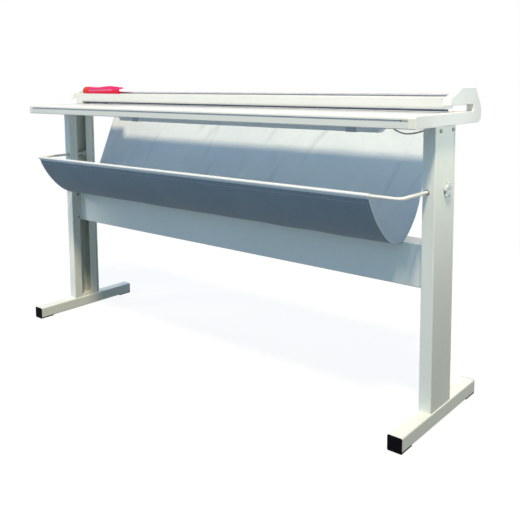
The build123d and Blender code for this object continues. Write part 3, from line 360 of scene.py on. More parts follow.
def makeWeave():
    group, given, out = startGroup(
        "weave",
        [("Spacing", "Float", 0.0011), ("Loose", "Float", 0.25)],
        [("Height", "Float"), ("Gap", "Float"), ("Slub", "Float")],
    )
    at = place(group, "UVMap", {}, uv_map="clothMetres")[0]
    turns = {0: at, "Scale": maths(group, "DIVIDE", pi, given["Spacing"])}
    noise = noiseAt(group, at, weave["wander"], weave["wanderDetail"], noise_dimensions="2D")["Color"]
    moved = place(group, "VectorMath", {0: noise, "Scale": given["Loose"]}, operation="SCALE")[0]
    where = vectorMaths(group, "ADD", place(group, "VectorMath", turns, operation="SCALE")[0], moved)[0]
    across, along = [maths(group, "SINE", part) for part in parted(group, where)[:2]]
    over = times(group, times(group, across, along), weave["over"])
    ridge = maths(group, "MAXIMUM", maths(group, "ABSOLUTE", across), maths(group, "ABSOLUTE", along))
    threads = vectorMaths(group, "MULTIPLY", at, weave["slubStretch"])[0]
    slub = noiseAt(group, threads, 1.0, weave["slubDetail"], noise_dimensions="2D")[0]
    group.links.new(maths(group, "ADD", over, ridge), out["Height"])
    group.links.new(spread(group, ridge, *weave["gap"]), out["Gap"])
    group.links.new(spread(group, slub, *weave["slub"]), out["Slub"])
    return group


effects = {
    "edge": makeEdgeWear(), "mottle": makeMottle(), "peel": makePeel(),
    "lines": makeDrawnLines(), "dust": makeDust(), "weave": makeWeave(),
}
print("shared effects made:", len(effects))


# what the finishes share: a look gives colours and gloss, and its marks give sizes and amounts
def startMaterial(name):
    made = bpy.data.materials.new(name)
    made.use_nodes = True
    tree = made.node_tree
    return made, tree, tree.nodes["Principled BSDF"]


def mottled(tree, look, scale):
    tints = {"First": colour(look["first"]), "Second": colour(look["second"]), "Scale": scale}
    return grouped(tree, "mottle", tints)["Color"]


def wornMask(tree, marks):
    inputs = {"Width": marks["edge"], "Amount": marks["wear"], "Patches": marks["wearPatches"]}
    return grouped(tree, "edge", inputs)["Mask"]


def dusted(tree, tone, marks):
    film = grouped(tree, "dust", {"Amount": marks["dust"], "Patches": marks["dustPatches"]})["Mask"]
    return mixed(tree, film, tone, colour(marks["dustTint"]))


def bump(tree, shader, height, marks):
    inputs = {"Height": height, "Distance": marks["depth"], "Strength": marks["strength"]}
    tree.links.new(place(tree, "Bump", inputs)[0], shader.inputs["Normal"])


def coatSurface(tree, shader, scale, gloss, marks):
    made = grouped(tree, "peel", {"Scale": scale, "Gloss": gloss, "Change": marks["change"]})
    tree.links.new(made["Roughness"], shader.inputs["Roughness"])
    bump(tree, shader, made["Height"], marks)


def drawnSurface(tree, shader, stretch, gloss, marks):
    made = grouped(tree, "lines", {"Stretch": stretch, "Gloss": gloss, "Change": marks["change"]})
    tree.links.new(made["Roughness"], shader.inputs["Roughness"])
    bump(tree, shader, made["Height"], marks)
    return made["Mask"]


def lightened(values, keep, add):
    return colour(tuple(keep * value + add for value in values))


# paint of the stand, the beam, the catch rod and the lamp tray
paints = {
    "frame_paint": {
        "first": (0.82, 0.84, 0.77), "second": (0.79, 0.81, 0.74), "gloss": 0.46,
        "worn": (0.46, 0.48, 0.46),
    },
    "beam_paint": {
        "first": (0.86, 0.84, 0.76), "second": (0.84, 0.82, 0.74), "gloss": 0.34,
        "worn": (0.66, 0.66, 0.62),
    },
    "rod_paint": {
        "first": (0.84, 0.82, 0.75), "second": (0.78, 0.77, 0.70), "gloss": 0.32,
        "worn": (0.40, 0.39, 0.36),
    },
    "lamp_tray": {
        "first": (0.78, 0.82, 0.84), "second": (0.74, 0.79, 0.81), "gloss": 0.40,
        "worn": (0.45, 0.47, 0.48),
    },
}
paintMarks = {
    "mottle": 3.0, "edge": 0.0009, "wear": 0.45, "wearPatches": 70.0,
    "dust": 0.36, "dustPatches": 11.0, "dustTint": (0.60, 0.60, 0.57),
    "peel": 420.0, "change": 0.16, "depth": 0.00012, "strength": 0.5,
}


def paintMaterial(name, look):
    made, tree, shader = startMaterial(name)
    base = mottled(tree, look, paintMarks["mottle"])
    worn = mixed(tree, wornMask(tree, paintMarks), base, colour(look["worn"]))
    tree.links.new(dusted(tree, worn, paintMarks), shader.inputs["Base Color"])
    coatSurface(tree, shader, paintMarks["peel"], look["gloss"], paintMarks)
    return made


# moulded plastic and rubber; grain is the mould's, shine the strength of its reflections
moulds = {
    "cap_rubber": {
        "first": (0.003, 0.003, 0.004), "second": (0.005, 0.005, 0.007), "gloss": 0.70,
        "grain": 1500.0, "shine": 0.04,
    },
    "cheek_mould": {
        "first": (0.79, 0.79, 0.76), "second": (0.77, 0.77, 0.74), "gloss": 0.38, "grain": 1100.0,
        "front": (1.0, 0.96, 0.80),          # painted light: creamier on the faces to the front, which lie in shade
    },
    "cap_mould": {
        "first": (0.86, 0.86, 0.82), "second": (0.83, 0.83, 0.79), "gloss": 0.36, "grain": 1100.0,
    },
    "insert_grey": {
        "first": (0.36, 0.41, 0.46), "second": (0.31, 0.36, 0.42), "gloss": 0.55, "grain": 900.0,
    },
    "bush_plastic": {
        "first": (0.20, 0.22, 0.24), "second": (0.16, 0.18, 0.20), "gloss": 0.44, "grain": 1300.0,
    },
    "lever_pink": {
        "first": (0.86, 0.06, 0.20), "second": (0.80, 0.045, 0.15), "gloss": 0.30,
        "grain": 700.0, "shine": 0.3,
    },
    "roller_plastic": {
        "first": (0.70, 0.70, 0.66), "second": (0.64, 0.64, 0.60), "gloss": 0.40, "grain": 1400.0,
    },
    "clamp_block": {
        "first": (0.56, 0.59, 0.56), "second": (0.50, 0.53, 0.51), "gloss": 0.45, "grain": 1200.0,
    },
    "knob_grey": {
        "first": (0.64, 0.67, 0.68), "second": (0.58, 0.62, 0.63), "gloss": 0.36, "grain": 1000.0,
    },
    "holder_white": {
        "first": (0.80, 0.80, 0.77), "second": (0.75, 0.75, 0.72), "gloss": 0.40, "grain": 1200.0,
    },
    "strap_dark": {
        "first": (0.46, 0.50, 0.54), "second": (0.42, 0.46, 0.50), "gloss": 0.40, "grain": 1000.0,
    },
    "lead_grey": {
        "first": (0.33, 0.36, 0.39), "second": (0.28, 0.31, 0.34), "gloss": 0.45, "grain": 1600.0,
    },
}
mouldMarks = {
    "mottle": 12.0, "edge": 0.0007, "wear": 0.35, "wearPatches": 120.0,
    "keep": 0.55, "add": 0.30,               # share of the colour and white on a rubbed edge
    "dust": 0.12, "dustPatches": 23.0, "dustTint": (0.55, 0.54, 0.52),
    "front": (-0.6, -0.9), "shine": 0.5, "change": 0.14, "depth": 0.00008, "strength": 0.6,
}


def mouldMaterial(name, look):
    made, tree, shader = startMaterial(name)
    tone = mottled(tree, look, mouldMarks["mottle"])
    # painted light: faces that look to the front are mixed towards a creamier colour
    if "front" in look:
        paintedLightFront = spread(tree, parted(tree, surfaceNormal(tree))[1], *mouldMarks["front"])
        tone = mixed(tree, paintedLightFront, tone, colour(look["front"]))
    lighter = lightened(look["first"], mouldMarks["keep"], mouldMarks["add"])
    rubbed = mixed(tree, wornMask(tree, mouldMarks), tone, lighter)
    tree.links.new(dusted(tree, rubbed, mouldMarks), shader.inputs["Base Color"])
    shader.inputs["Specular IOR Level"].default_value = look.get("shine", mouldMarks["shine"])
    coatSurface(tree, shader, look["grain"], look["gloss"], mouldMarks)
    return made


# bare metal, with the marks of its making stretched along each axis
metals = {
    "bolt_steel": {
        "first": (0.42, 0.45, 0.45), "second": (0.28, 0.30, 0.31), "gloss": 0.34,
        "stretch": (700.0, 700.0, 90.0),
    },
    "knife_steel": {
        "first": (0.68, 0.69, 0.71), "second": (0.52, 0.53, 0.56), "gloss": 0.24,
        "stretch": (900.0, 6.0, 6.0),
    },
    "rod_steel": {
        "first": (0.79, 0.77, 0.76), "second": (0.70, 0.68, 0.68), "gloss": 0.20,
        "stretch": (4.0, 900.0, 900.0),
        "under": (0.12, 0.19, 0.35),         # painted shade: darker along the underside
    },
    "carriage_alu": {
        "first": (0.72, 0.73, 0.75), "second": (0.58, 0.59, 0.62), "gloss": 0.38,
        "stretch": (5.0, 800.0, 800.0),
    },
    "wheel_steel": {
        "first": (0.70, 0.71, 0.73), "second": (0.50, 0.51, 0.54), "gloss": 0.22,
        "stretch": (500.0, 40.0, 500.0),
    },
}
metalMarks = {
    "mottle": 25.0, "lines": 0.35, "under": (-0.45, -0.10),
    "change": 0.22, "depth": 0.00003, "strength": 0.5,
}


def metalMaterial(name, look):
    made, tree, shader = startMaterial(name)
    lines = drawnSurface(tree, shader, look["stretch"], look["gloss"], metalMarks)
    stain = mottled(tree, look, metalMarks["mottle"])
    base = mixed(tree, times(tree, lines, metalMarks["lines"]), stain, colour(look["second"]))
    # painted shade: the colour darkens towards the faces that look down
    if "under" in look:
        outsidePaintedShade = spread(tree, parted(tree, surfaceNormal(tree))[2], *metalMarks["under"])
        base = mixed(tree, outsidePaintedShade, colour(look["under"]), base)
    tree.links.new(base, shader.inputs["Base Color"])
    shader.inputs["Metallic"].default_value = 1.0
    return made


# melamine-faced board: a pale face with a faint speckle, chip board where the edge is open
board = {
    "first": (0.66, 0.68, 0.70), "second": (0.64, 0.66, 0.68), "mottle": 2.2,
    "chips": (0.52, 0.40, 0.27), "darkChips": (0.30, 0.22, 0.14), "chipScale": 420.0,
    "flat": (0.4, 0.8),                      # upright part of the normal, from edge to face
    "dust": 0.05, "dustPatches": 6.0, "dustTint": (0.74, 0.73, 0.70),
    "gloss": 0.30, "peel": 700.0, "change": 0.10, "depth": 0.00006, "strength": 0.5,
}


def boardMaterial(name, look):
    made, tree, shader = startMaterial(name)
    grains = place(tree, "TexVoronoi", {"Vector": objectPlace(tree), "Scale": look["chipScale"]})["Color"]
    chips = mixed(tree, parted(tree, grains)[0], colour(look["chips"]), colour(look["darkChips"]))
    upright = maths(tree, "ABSOLUTE", parted(tree, surfaceNormal(tree))[2])
    face = dusted(tree, mottled(tree, look, look["mottle"]), look)
    base = mixed(tree, spread(tree, upright, *look["flat"]), chips, face)
    tree.links.new(base, shader.inputs["Base Color"])
    coatSurface(tree, shader, look["peel"], look["gloss"], look)
    return made


# extruded table edge, coated white over drawing lines
profile = {
    "first": (0.92, 0.90, 0.80), "second": (0.90, 0.88, 0.78), "mottle": 2.0, "worn": (0.60, 0.62, 0.63),
    "edge": 0.0008, "wear": 0.5, "wearPatches": 50.0, "lines": 0.10, "gloss": 0.33,
    "stretch": (1.5, 700.0, 700.0), "change": 0.14, "depth": 0.00004, "strength": 0.5,
}


def profileMaterial(name, look):
    made, tree, shader = startMaterial(name)
    lines = drawnSurface(tree, shader, look["stretch"], look["gloss"], look)
    worn = colour(look["worn"])
    drawn = mixed(tree, times(tree, lines, look["lines"]), mottled(tree, look, look["mottle"]), worn)
    tree.links.new(mixed(tree, wornMask(tree, look), drawn, worn), shader.inputs["Base Color"])
    return made


# clear plastic of the clamp strip, tinted dark blue: painted shade under the beam
shadeTintedClampStrip = {
    "tint": (0.12, 0.24, 0.44), "passes": 0.4, "bending": 1.49, "gloss": 0.10,
    "stretch": (3.0, 500.0, 500.0), "change": 0.14, "depth": 0.00003, "strength": 0.4,
}


def clearMaterial(name, look):
    made, tree, shader = startMaterial(name)
    shader.inputs["Base Color"].default_value = colour(look["tint"])
    shader.inputs["Transmission Weight"].default_value = look["passes"]
    shader.inputs["IOR"].default_value = look["bending"]
    drawnSurface(tree, shader, look["stretch"], look["gloss"], look)
    return made


# powder-lined glass of the lamp
tubeGlass = {
    "first": (0.92, 0.93, 0.93), "second": (0.86, 0.88, 0.89), "mottle": 30.0, "gloss": 0.16,
    "coat": 0.5, "peel": 260.0, "change": 0.06, "depth": 0.00003, "strength": 0.3,
}


def tubeMaterial(name, look):
    made, tree, shader = startMaterial(name)
    tree.links.new(mottled(tree, look, look["mottle"]), shader.inputs["Base Color"])
    shader.inputs["Coat Weight"].default_value = look["coat"]
    coatSurface(tree, shader, look["peel"], look["gloss"], look)
    return made


# red of the head: deeper pink where it looks up, a painted reflection of the sky; warmer at the left end; a
# pale strip in the groove, a painted highlight
headLook = {
    "front": (0.74, 0.010, 0.040),
    # painted reflection of the sky on the faces that look up
    "top": (0.74, 0.022, 0.160),
    "upward": (0.15, 0.85),
    "left": (0.76, 0.040, 0.020),
    "leftEnd": (-0.792, -0.800),
    # painted highlight in the groove, and where it lies
    "strip": (0.68, 0.21, 0.30),
    "stripEnds": (-0.782, -0.632),
    "stripRise": (0.9690, 0.9725),           # the highlight's middle at its two ends
    "stripHalf": (0.0035, 0.0014),           # from its edge to its full colour
    "stripFace": (0.0075, 0.0055),           # across, where the highlight starts
    "stripFade": 0.01,
    "rubbed": (0.80, 0.12, 0.20), "edge": 0.0007, "wear": 0.25, "wearPatches": 120.0,
    "gloss": 0.38, "shine": 0.12, "peel": 700.0, "change": 0.12, "depth": 0.00008, "strength": 0.6,
}


def stripMask(tree, look, at):
    # the painted highlight: a sloping band between two ends, near the middle line, on the front, faded out
    # past both ends
    (left, right), (low, high), fade = look["stripEnds"], look["stripRise"], look["stripFade"]
    middle = place(tree, "MapRange", {"Value": at[0], 1: left, 2: right, 3: low, 4: high})[0]
    away = maths(tree, "ABSOLUTE", maths(tree, "SUBTRACT", at[2], middle))
    band = times(tree, spread(tree, away, *look["stripHalf"]), spread(tree, at[1], *look["stripFace"]))
    fromLeft = spread(tree, at[0], left - fade, left)
    toRight = spread(tree, at[0], right + fade, right)
    return times(tree, band, times(tree, fromLeft, toRight))


def headMaterial(name, look):
    made, tree, shader = startMaterial(name)
    at = parted(tree, objectPlace(tree))
    # painted reflection: pinker on the faces that look up
    upward = spread(tree, parted(tree, surfaceNormal(tree))[2], *look["upward"])
    tone = mixed(tree, upward, colour(look["front"]), colour(look["top"]))
    tone = mixed(tree, spread(tree, at[0], *look["leftEnd"]), tone, colour(look["left"]))
    # painted highlight along the groove
    tone = mixed(tree, stripMask(tree, look, at), tone, colour(look["strip"]))
    tone = mixed(tree, wornMask(tree, look), tone, colour(look["rubbed"]))
    tree.links.new(tone, shader.inputs["Base Color"])
    shader.inputs["Specular IOR Level"].default_value = look["shine"]
    coatSurface(tree, shader, look["peel"], look["gloss"], look)
    return made


# coated canvas of the catch cloth; its back is a darker copy of it, painted shade
canvas = {
    "catch_fabric": {
        "first": (0.74, 0.80, 0.83), "second": (0.70, 0.76, 0.80), "gap": (0.52, 0.58, 0.62),
    },
    # the outer side: the same canvas darker, painted shade
    "fabricBackPaintedShade": {
        "first": (0.26, 0.32, 0.37), "second": (0.23, 0.29, 0.34), "gap": (0.16, 0.21, 0.25),
    },
}
canvasMarks = {
    "mottle": 5.0, "spacing": 0.0011, "loose": 0.3, "keep": 0.8, "add": 0.18, "slub": 0.25,
    "ridge": (0.05, 0.9), "creaseLightShare": 0.8,     # how a crease's ridge is lightened, partly wear and partly painted light
    # how a crease's valley is darkened towards the gap colour, painted shade
    "creaseShadeValley": (-0.05, -0.9), "creaseShadeShare": 0.45,
    "hem": (0.84, 0.85, 0.83),
    "litHemStart": (0.6885, 0.69),                  # along the cloth: white from here round the rod, painted light where the cloth lies lit over it, and the end of the back's painted shade
    "gapShare": 0.5, "gloss": 0.78, "sheen": 0.15, "depth": 0.00022, "strength": 0.7,
}


def canvasMaterial(name, look):
    made, tree, shader = startMaterial(name)
    marks = canvasMarks
    threads = grouped(tree, "weave", {"Spacing": marks["spacing"], "Loose": marks["loose"]})
    lighter = lightened(look["first"], marks["keep"], marks["add"])
    slubs = times(tree, threads["Slub"], marks["slub"])
    tone = mixed(tree, slubs, mottled(tree, look, marks["mottle"]), lighter)
    creased = place(tree, "Attribute", {}, attribute_name="creased")["Fac"]
    # creases: lighter on the ridges, partly wear and partly painted light; darker in the valleys, painted
    # shade
    ridge = spread(tree, creased, *marks["ridge"], 0.0, marks["creaseLightShare"])
    creaseShadeValley = spread(tree, creased, *marks["creaseShadeValley"], 0.0, marks["creaseShadeShare"])
    tone = mixed(tree, creaseShadeValley, mixed(tree, ridge, tone, lighter), colour(look["gap"]))
    along = parted(tree, place(tree, "UVMap", {}, uv_map="clothMetres")[0])[1]
    # painted light: white round the rod
    tone = mixed(tree, spread(tree, along, *marks["litHemStart"]), tone, colour(marks["hem"]))
    gaps = times(tree, threads["Gap"], marks["gapShare"])
    tree.links.new(mixed(tree, gaps, tone, colour(look["gap"])), shader.inputs["Base Color"])
    shader.inputs["Roughness"].default_value = marks["gloss"]
    shader.inputs["Sheen Weight"].default_value = marks["sheen"]
    bump(tree, shader, threads["Height"], marks)
    return made


# sewing thread, whose plies show as a twist along each stitch
thread = {
    "first": (0.62, 0.67, 0.70), "second": (0.78, 0.82, 0.84), "twist": 900.0, "uneven": 1.5,
    "gloss": 0.6, "depth": 0.0001, "strength": 0.5,
}


def threadMaterial(name, look):
    made, tree, shader = startMaterial(name)
    inputs = {"Vector": objectPlace(tree), "Scale": look["twist"], "Distortion": look["uneven"]}
    twist = place(tree, "TexWave", inputs, bands_direction="DIAGONAL")[1]
    plies = mixed(tree, twist, colour(look["first"]), colour(look["second"]))
    tree.links.new(plies, shader.inputs["Base Color"])
    shader.inputs["Roughness"].default_value = look["gloss"]
    bump(tree, shader, twist, look)
    return made


materials = {}
for maker, looks in (
    (paintMaterial, paints), (mouldMaterial, moulds), (metalMaterial, metals), (canvasMaterial, canvas),
    (boardMaterial, {"table_board": board}), (profileMaterial, {"profile_white": profile}),
    (clearMaterial, {"clamp_clear": shadeTintedClampStrip}), (tubeMaterial, {"tube_glass": tubeGlass}),
    (headMaterial, {"head_red": headLook}), (threadMaterial, {"threadWhite": thread}),
):
    for slotName, slotLook in looks.items():
        materials[slotName] = maker(slotName, slotLook)

for part in frame["record"]["subparts"]:
    slots = frame["nodes"][part["node"]].data.materials
    slots.clear()
    slots.append(materials[part["material_slot"]])
leadCord.data.materials.append(materials["lead_grey"])
print("materials made:", len(materials))


# catch cloth, hung from the rear rail's bead and sewn round the catch rod
cloth = {
    "left": -0.830,
    "right": 0.758,
    "thickness": 0.0012,
    "bead": (0.186, 0.885),      # across and up, where the rail holds it
    "drop": 0.0065,
    # radius and degrees of each bend, or None and the length of the straight run
    "bends": [(0.012, 23.9), (None, 0.251), (0.2576, 28.8), (0.0804, 46.1), (0.1426, 28.7)],
    "rod": (-0.216, 0.691),      # its middle, across and up
    "sleeveRadius": 0.0062,
    "sleeveEnd": -81.0,          # degrees, where the cloth leaves the rod again
    "flap": 0.030,               # the turned-in edge below the rod
    "flapGap": 1.15,             # thicknesses from the front to the flap
    "flapSettle": 0.004,         # length in which the flap comes to lie along the front
    "lineSteps": 4000,
    "frontSteps": 600,
    "roundSteps": 200,
    "columns": 230,
    "rows": 190,
    "closer": 9,                 # how much closer the rows lie round the rod
    "closerAt": 0.008,
    "closerReach": 0.014,
}
# its folds: rows of ripples are (share, spacing, drift, pace of the drift)
folds = {
    "seed": 7,
    "waves": 0.0014,             # height in metres, as for puckers, gathers and creases
    "waveCount": 7,
    "waveSum": 2.6,              # what the waves reach when they add up
    "waveAcross": (1.2, 5.0),    # waves in a metre
    "waveAlong": (-3.5, 3.5),
    "waveShare": (0.4, 1.0),
    "waveFade": 1.2,
    "phase": (0, 6.28),
    "puckers": 0.00045,
    "puckerRows": [(1, 0.031, 3, 9), (0.6, 0.019, 5, 5)],
    "puckerReach": 0.022,
    "puckerEnd": 0.004,
    "gathers": 0.0007,
    "gatherRows": [(1, 0.047, 4, 6), (0.5, 0.023, 5, 4)],
    "gatherReach": 0.11,
    "creases": 0.0024,
    "creaseCount": 22,
    "creasePlace": (0.06, 0.34),
    "creaseTurn": (100, 128),
    "creaseLength": (0.05, 0.14),
    "creaseBow": 0.25,
    "creaseWidth": (0.006, 0.014),
    "creaseShare": (0.5, 1),
    "stillTop": 0.03,            # nothing moves at the bead, and from a little past the rod
    "stillPast": 0.02,
}


def clothLine():
    # heading against length: constant on the straight run and turning evenly on each arc
    lengths, headings = [0.0, cloth["drop"]], [-90.0, -90.0]
    for radius, amount in cloth["bends"]:
        straight = radius is None
        lengths.append(lengths[-1] + (amount if straight else radius * radians(amount)))
        headings.append(headings[-1] - (0.0 if straight else amount))
    return np.array(lengths), np.radians(headings)


def walk(lengths, headings, start, count):
    # the line's points: the heading's cosine and sine summed along the length
    s = np.linspace(0, lengths[-1], count)
    middle = np.interp((s[1:] + s[:-1]) / 2, lengths, headings)
    step = np.diff(s)
    across = start[0] + np.concatenate([[0], np.cumsum(np.cos(middle) * step)])
    up = start[1] + np.concatenate([[0], np.cumsum(np.sin(middle) * step)])
    return np.array([across, up])


def lengthAlong(line):
    # the lengths of its steps, added up from its start
    return np.concatenate([[0], np.cumsum(np.hypot(*np.diff(line, axis=1)))])


def frontArc(trough, heading):
    # an arc that leaves the trough along its last heading and ends beside the rod, by chords from its start
    target = np.array(cloth["rod"]) - (cloth["sleeveRadius"], 0)
    chord = target - trough[:, -1]
    lean = (np.arctan2(chord[1], chord[0]) - heading + pi) % (2 * pi) - pi
    radius = np.hypot(*chord) / (2 * np.sin(abs(lean)))
    turn = np.linspace(0, 1, cloth["frontSteps"])[1:]
    reach = 2 * radius * np.sin(abs(lean) * turn)
    way = np.array([np.cos(heading + lean * turn), np.sin(heading + lean * turn)])
    return trough[:, -1:] + reach * way


def sleeveArc():
    # part of a circle round the rod, over its top
    around = np.linspace(pi, radians(cloth["sleeveEnd"]), cloth["roundSteps"])[1:]
    middle = np.array(cloth["rod"])[:, None]
    return middle + cloth["sleeveRadius"] * np.array([np.cos(around), np.sin(around)])


def flapLine(front, sleeve):
    # the front's own line walked back from the rod, a little inside it, eased in from the sleeve's end
    back = np.linspace(0, cloth["flap"], cloth["roundSteps"])[1:]
    runLength = lengthAlong(front)[1:]
    fromTop = (runLength[-1] - runLength)[::-1]
    across, up = [np.interp(back, fromTop, part[:-1][::-1]) for part in front]
    early = np.exp(-back / cloth["flapSettle"])
    inside = cloth["thickness"] * cloth["flapGap"]
    return np.array([
        (across + inside) * (1 - early) + sleeve[0, -1] * early,
        np.minimum(up, sleeve[1, -1]) * (1 - early) + (sleeve[1, -1] - back) * early,
    ])


def clothSection():
    # the trough, then an arc to the sleeve, round the rod and down inside as the flap
    lengths, headings = clothLine()
    trough = walk(lengths, headings, cloth["bead"], cloth["lineSteps"])
    front = frontArc(trough, headings[-1])
    sleeve = sleeveArc()
    joined = np.concatenate([trough, front, sleeve, flapLine(front, sleeve)], axis=1)
    length = lengthAlong(joined)
    return joined, length, length[trough.shape[1] + front.shape[1] - 1]


def ripples(x, rows):
    # sines of unlike length added up, the spacing of each drifting along the cloth
    height = np.zeros_like(x)
    for share, spacing, drift, pace in rows:
        height += share * np.sin(2 * pi * x / spacing + drift * np.sin(pace * x))
    return height


def broadWaves(rng, x, s, atRod):
    # slanting sines of random length, highest between the bead and the rod
    height = np.zeros_like(x)
    for _ in range(folds["waveCount"]):
        across, along = rng.uniform(*folds["waveAcross"]), rng.uniform(*folds["waveAlong"])
        share, phase = rng.uniform(*folds["waveShare"]), rng.uniform(*folds["phase"])
        height += share * np.sin(2 * pi * (across * x + along * s) + phase)
    middle = np.sin(pi * np.clip(s / atRod, 0, 1)) ** folds["waveFade"]
    return folds["waves"] / folds["waveSum"] * middle * height


def creaseField(rng, x, s):
    # each crease is a bell along its own slanting line, long one way, narrow the other and a little bowed
    creased = np.zeros_like(x)
    for _ in range(folds["creaseCount"]):
        x0, s0 = rng.uniform(cloth["left"], cloth["right"]), rng.uniform(*folds["creasePlace"])
        angle, length = radians(rng.uniform(*folds["creaseTurn"])), rng.uniform(*folds["creaseLength"])
        u = (x - x0) * cos(angle) + (s - s0) * sin(angle)
        v = -(x - x0) * sin(angle) + (s - s0) * cos(angle)
        bowed = v + folds["creaseBow"] * u * u / length * rng.uniform(-1, 1)
        width = rng.uniform(*folds["creaseWidth"])
        share = rng.uniform(*folds["creaseShare"]) * rng.choice([-1, 1])
        creased += share * np.exp(-(u / length) ** 2 - (bowed / width) ** 2)
    return creased


def clothHeights(x, s, atRod):
    # waves, puckers that fade from the seam, gathers that fade from the bead, and creases
    rng = np.random.default_rng(folds["seed"])
    height = broadWaves(rng, x, s, atRod)
    nearSeam = np.exp(-np.abs(atRod - cloth["flap"] - s) / folds["puckerReach"])
    nearSeam *= s < atRod - folds["puckerEnd"]
    height += folds["puckers"] * nearSeam * ripples(x, folds["puckerRows"])
    height += folds["gathers"] * np.exp(-s / folds["gatherReach"]) * ripples(x, folds["gatherRows"])
    creased = creaseField(rng, x, s)
    still = np.clip(s / folds["stillTop"], 0, 1) * (s < atRod + folds["stillPast"])
    return (height + folds["creases"] * creased) * still, np.clip(creased * still, -1, 1)


def clothRowsAlong(length, atRod):
    # rows lie closer round the rod, where the line turns fast: equal shares of a density with a bell there
    past = (length - atRod - cloth["closerAt"]) / cloth["closerReach"]
    density = 1 + cloth["closer"] * np.exp(-past ** 2)
    share = np.concatenate([[0], np.cumsum((density[1:] + density[:-1]) / 2 * np.diff(length))])
    return np.interp(np.linspace(0, share[-1], cloth["rows"]), share, length)


def makeCloth():
    # the section carried from left to right, each point moved along the section's normal
    joined, length, atRod = clothSection()
    rows = clothRowsAlong(length, atRod)
    y, z = [np.interp(rows, length, part) for part in joined]
    slopeY, slopeZ = np.gradient(y, rows), np.gradient(z, rows)
    size = np.hypot(slopeY, slopeZ)
    x = np.linspace(cloth["left"], cloth["right"], cloth["columns"])
    gridX, gridS = np.meshgrid(x, rows)
    height, creased = clothHeights(gridX, gridS, atRod)
    pointY = y[:, None] + (slopeZ / size)[:, None] * height
    pointZ = z[:, None] - (slopeY / size)[:, None] * height
    points = np.stack([gridX, pointY, pointZ], axis=2)
    made = meshPiece("catchClothSheet", points, gridFaces(len(rows), len(x)).tolist())
    # the canvas, and its darker copy with painted shade for the solidified side
    for name in canvas:
        made.data.materials.append(materials[name])
    corners = np.zeros(len(made.data.loops), int)
    made.data.loops.foreach_get("vertex_index", corners)
    metres = np.stack([gridX.ravel(), gridS.ravel()], axis=1)[corners]
    layer = made.data.uv_layers.new(name="clothMetres")
    layer.data.foreach_set("uv", metres.astype(np.float32).ravel())
    marked = made.data.attributes.new("creased", "FLOAT", "POINT")
    marked.data.foreach_set("value", creased.astype(np.float32).ravel())
    thick = made.modifiers.new("thick", "SOLIDIFY")
    thick.thickness = cloth["thickness"]
    thick.offset = 0.0
    thick.material_offset = 1
    return made, points, rows, atRod, float(length[-1])


clothPiece, clothPoints, clothRows, clothAtRod, clothLength = makeCloth()

# stitches along the rod's seam and both side hems, on both faces of the cloth
stitch = {
    "spacing": 0.0042,
    "cover": 0.72,               # share of the spacing that a stitch takes
    "radius": 0.00035,
    "sides": 6,
    "girth": (0.45, 0.9, 1.0, 0.9, 0.45),
    "rise": (-0.7, 0.45, 0.75, 0.45, -0.7),      # radii above the face, so that its ends dip in
    "seamShare": 0.82,           # of the flap, from the rod to the seam
    "hem": 0.0105,               # from the cloth's side to the hem's stitches
    "top": 0.012,
    "sideGap": 0.004,
    "ahead": 0.001,              # share of the row between two places that give its direction
}


def surfaceAt(x, s, lift):
    # a place on the cloth by its own metres, lifted along the surface's normal
    xs = clothPoints[0, :, 0]
    fx = np.interp(x, xs, np.arange(len(xs)))
    fs = np.interp(s, clothRows, np.arange(len(clothRows)))
    i, j = np.minimum(fs.astype(int), len(clothRows) - 2), np.minimum(fx.astype(int), len(xs) - 2)
    a, b = (fs - i)[:, None], (fx - j)[:, None]
    p00, p10 = clothPoints[i, j], clothPoints[i + 1, j]
    p01, p11 = clothPoints[i, j + 1], clothPoints[i + 1, j + 1]
    on = p00 * (1 - a) * (1 - b) + p10 * a * (1 - b) + p01 * (1 - a) * b + p11 * a * b
    normal = unit(np.cross(p10 - p00, p01 - p00))
    return on + normal * lift[:, None], normal


def stitchRow(x0, s0, x1, s1, side):
    # each stitch is a short capsule: rings of its girth round a line that rises out of the cloth and dips in
    count = int(np.hypot(x1 - x0, s1 - s0) / stitch["spacing"])
    rings = len(stitch["girth"])
    starts = (np.arange(count) + 0.5) / count
    share = starts[:, None] + np.linspace(-0.5, 0.5, rings) * stitch["cover"] / count
    x = (x0 + (x1 - x0) * share).ravel()
    s = (s0 + (s1 - s0) * share).ravel()
    rise = cloth["thickness"] / 2 + stitch["radius"] * np.array(stitch["rise"])
    lift = side * np.tile(rise, count)
    centre, normal = surfaceAt(x, s, lift)
    ahead, _ = surfaceAt(x + (x1 - x0) * stitch["ahead"], s + (s1 - s0) * stitch["ahead"], lift)
    aside = np.cross(unit(ahead - centre), normal)
    turn = np.linspace(0, 2 * pi, stitch["sides"], endpoint=False)[None, :, None]
    around = np.cos(turn) * aside[:, None] + np.sin(turn) * normal[:, None]
    radii = np.tile(stitch["radius"] * np.array(stitch["girth"]), count)[:, None, None]
    return (centre[:, None] + radii * around).reshape(-1, 3)


def makeStitches():
    # three runs on each face of the cloth; every stitch has the same faces, counted on from its first point
    left, right, hem, top = cloth["left"], cloth["right"], stitch["hem"], stitch["top"]
    seam = clothAtRod - cloth["flap"] * stitch["seamShare"]
    runs = [
        (left + stitch["sideGap"], seam, right - stitch["sideGap"], seam),
        (left + hem, top, left + hem, seam),
        (right - hem, top, right - hem, seam),
    ]
    points = np.concatenate([stitchRow(*run, side) for side in (1, -1) for run in runs])
    rings, sides = len(stitch["girth"]), stitch["sides"]
    starts = np.arange(0, len(points), rings * sides)[:, None, None]
    faces = []
    for part in tubeFaces(rings, sides):
        faces += (starts + part).reshape(-1, part.shape[1]).tolist()
    made = meshPiece("clothStitches", points, faces)
    made.data.materials.append(materials["threadWhite"])
    return made


stitches = makeStitches()
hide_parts("catch_cloth")
for piece in (clothPiece, stitches):
    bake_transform(piece)
print("cloth made, bead to flap:", round(clothLength, 4))

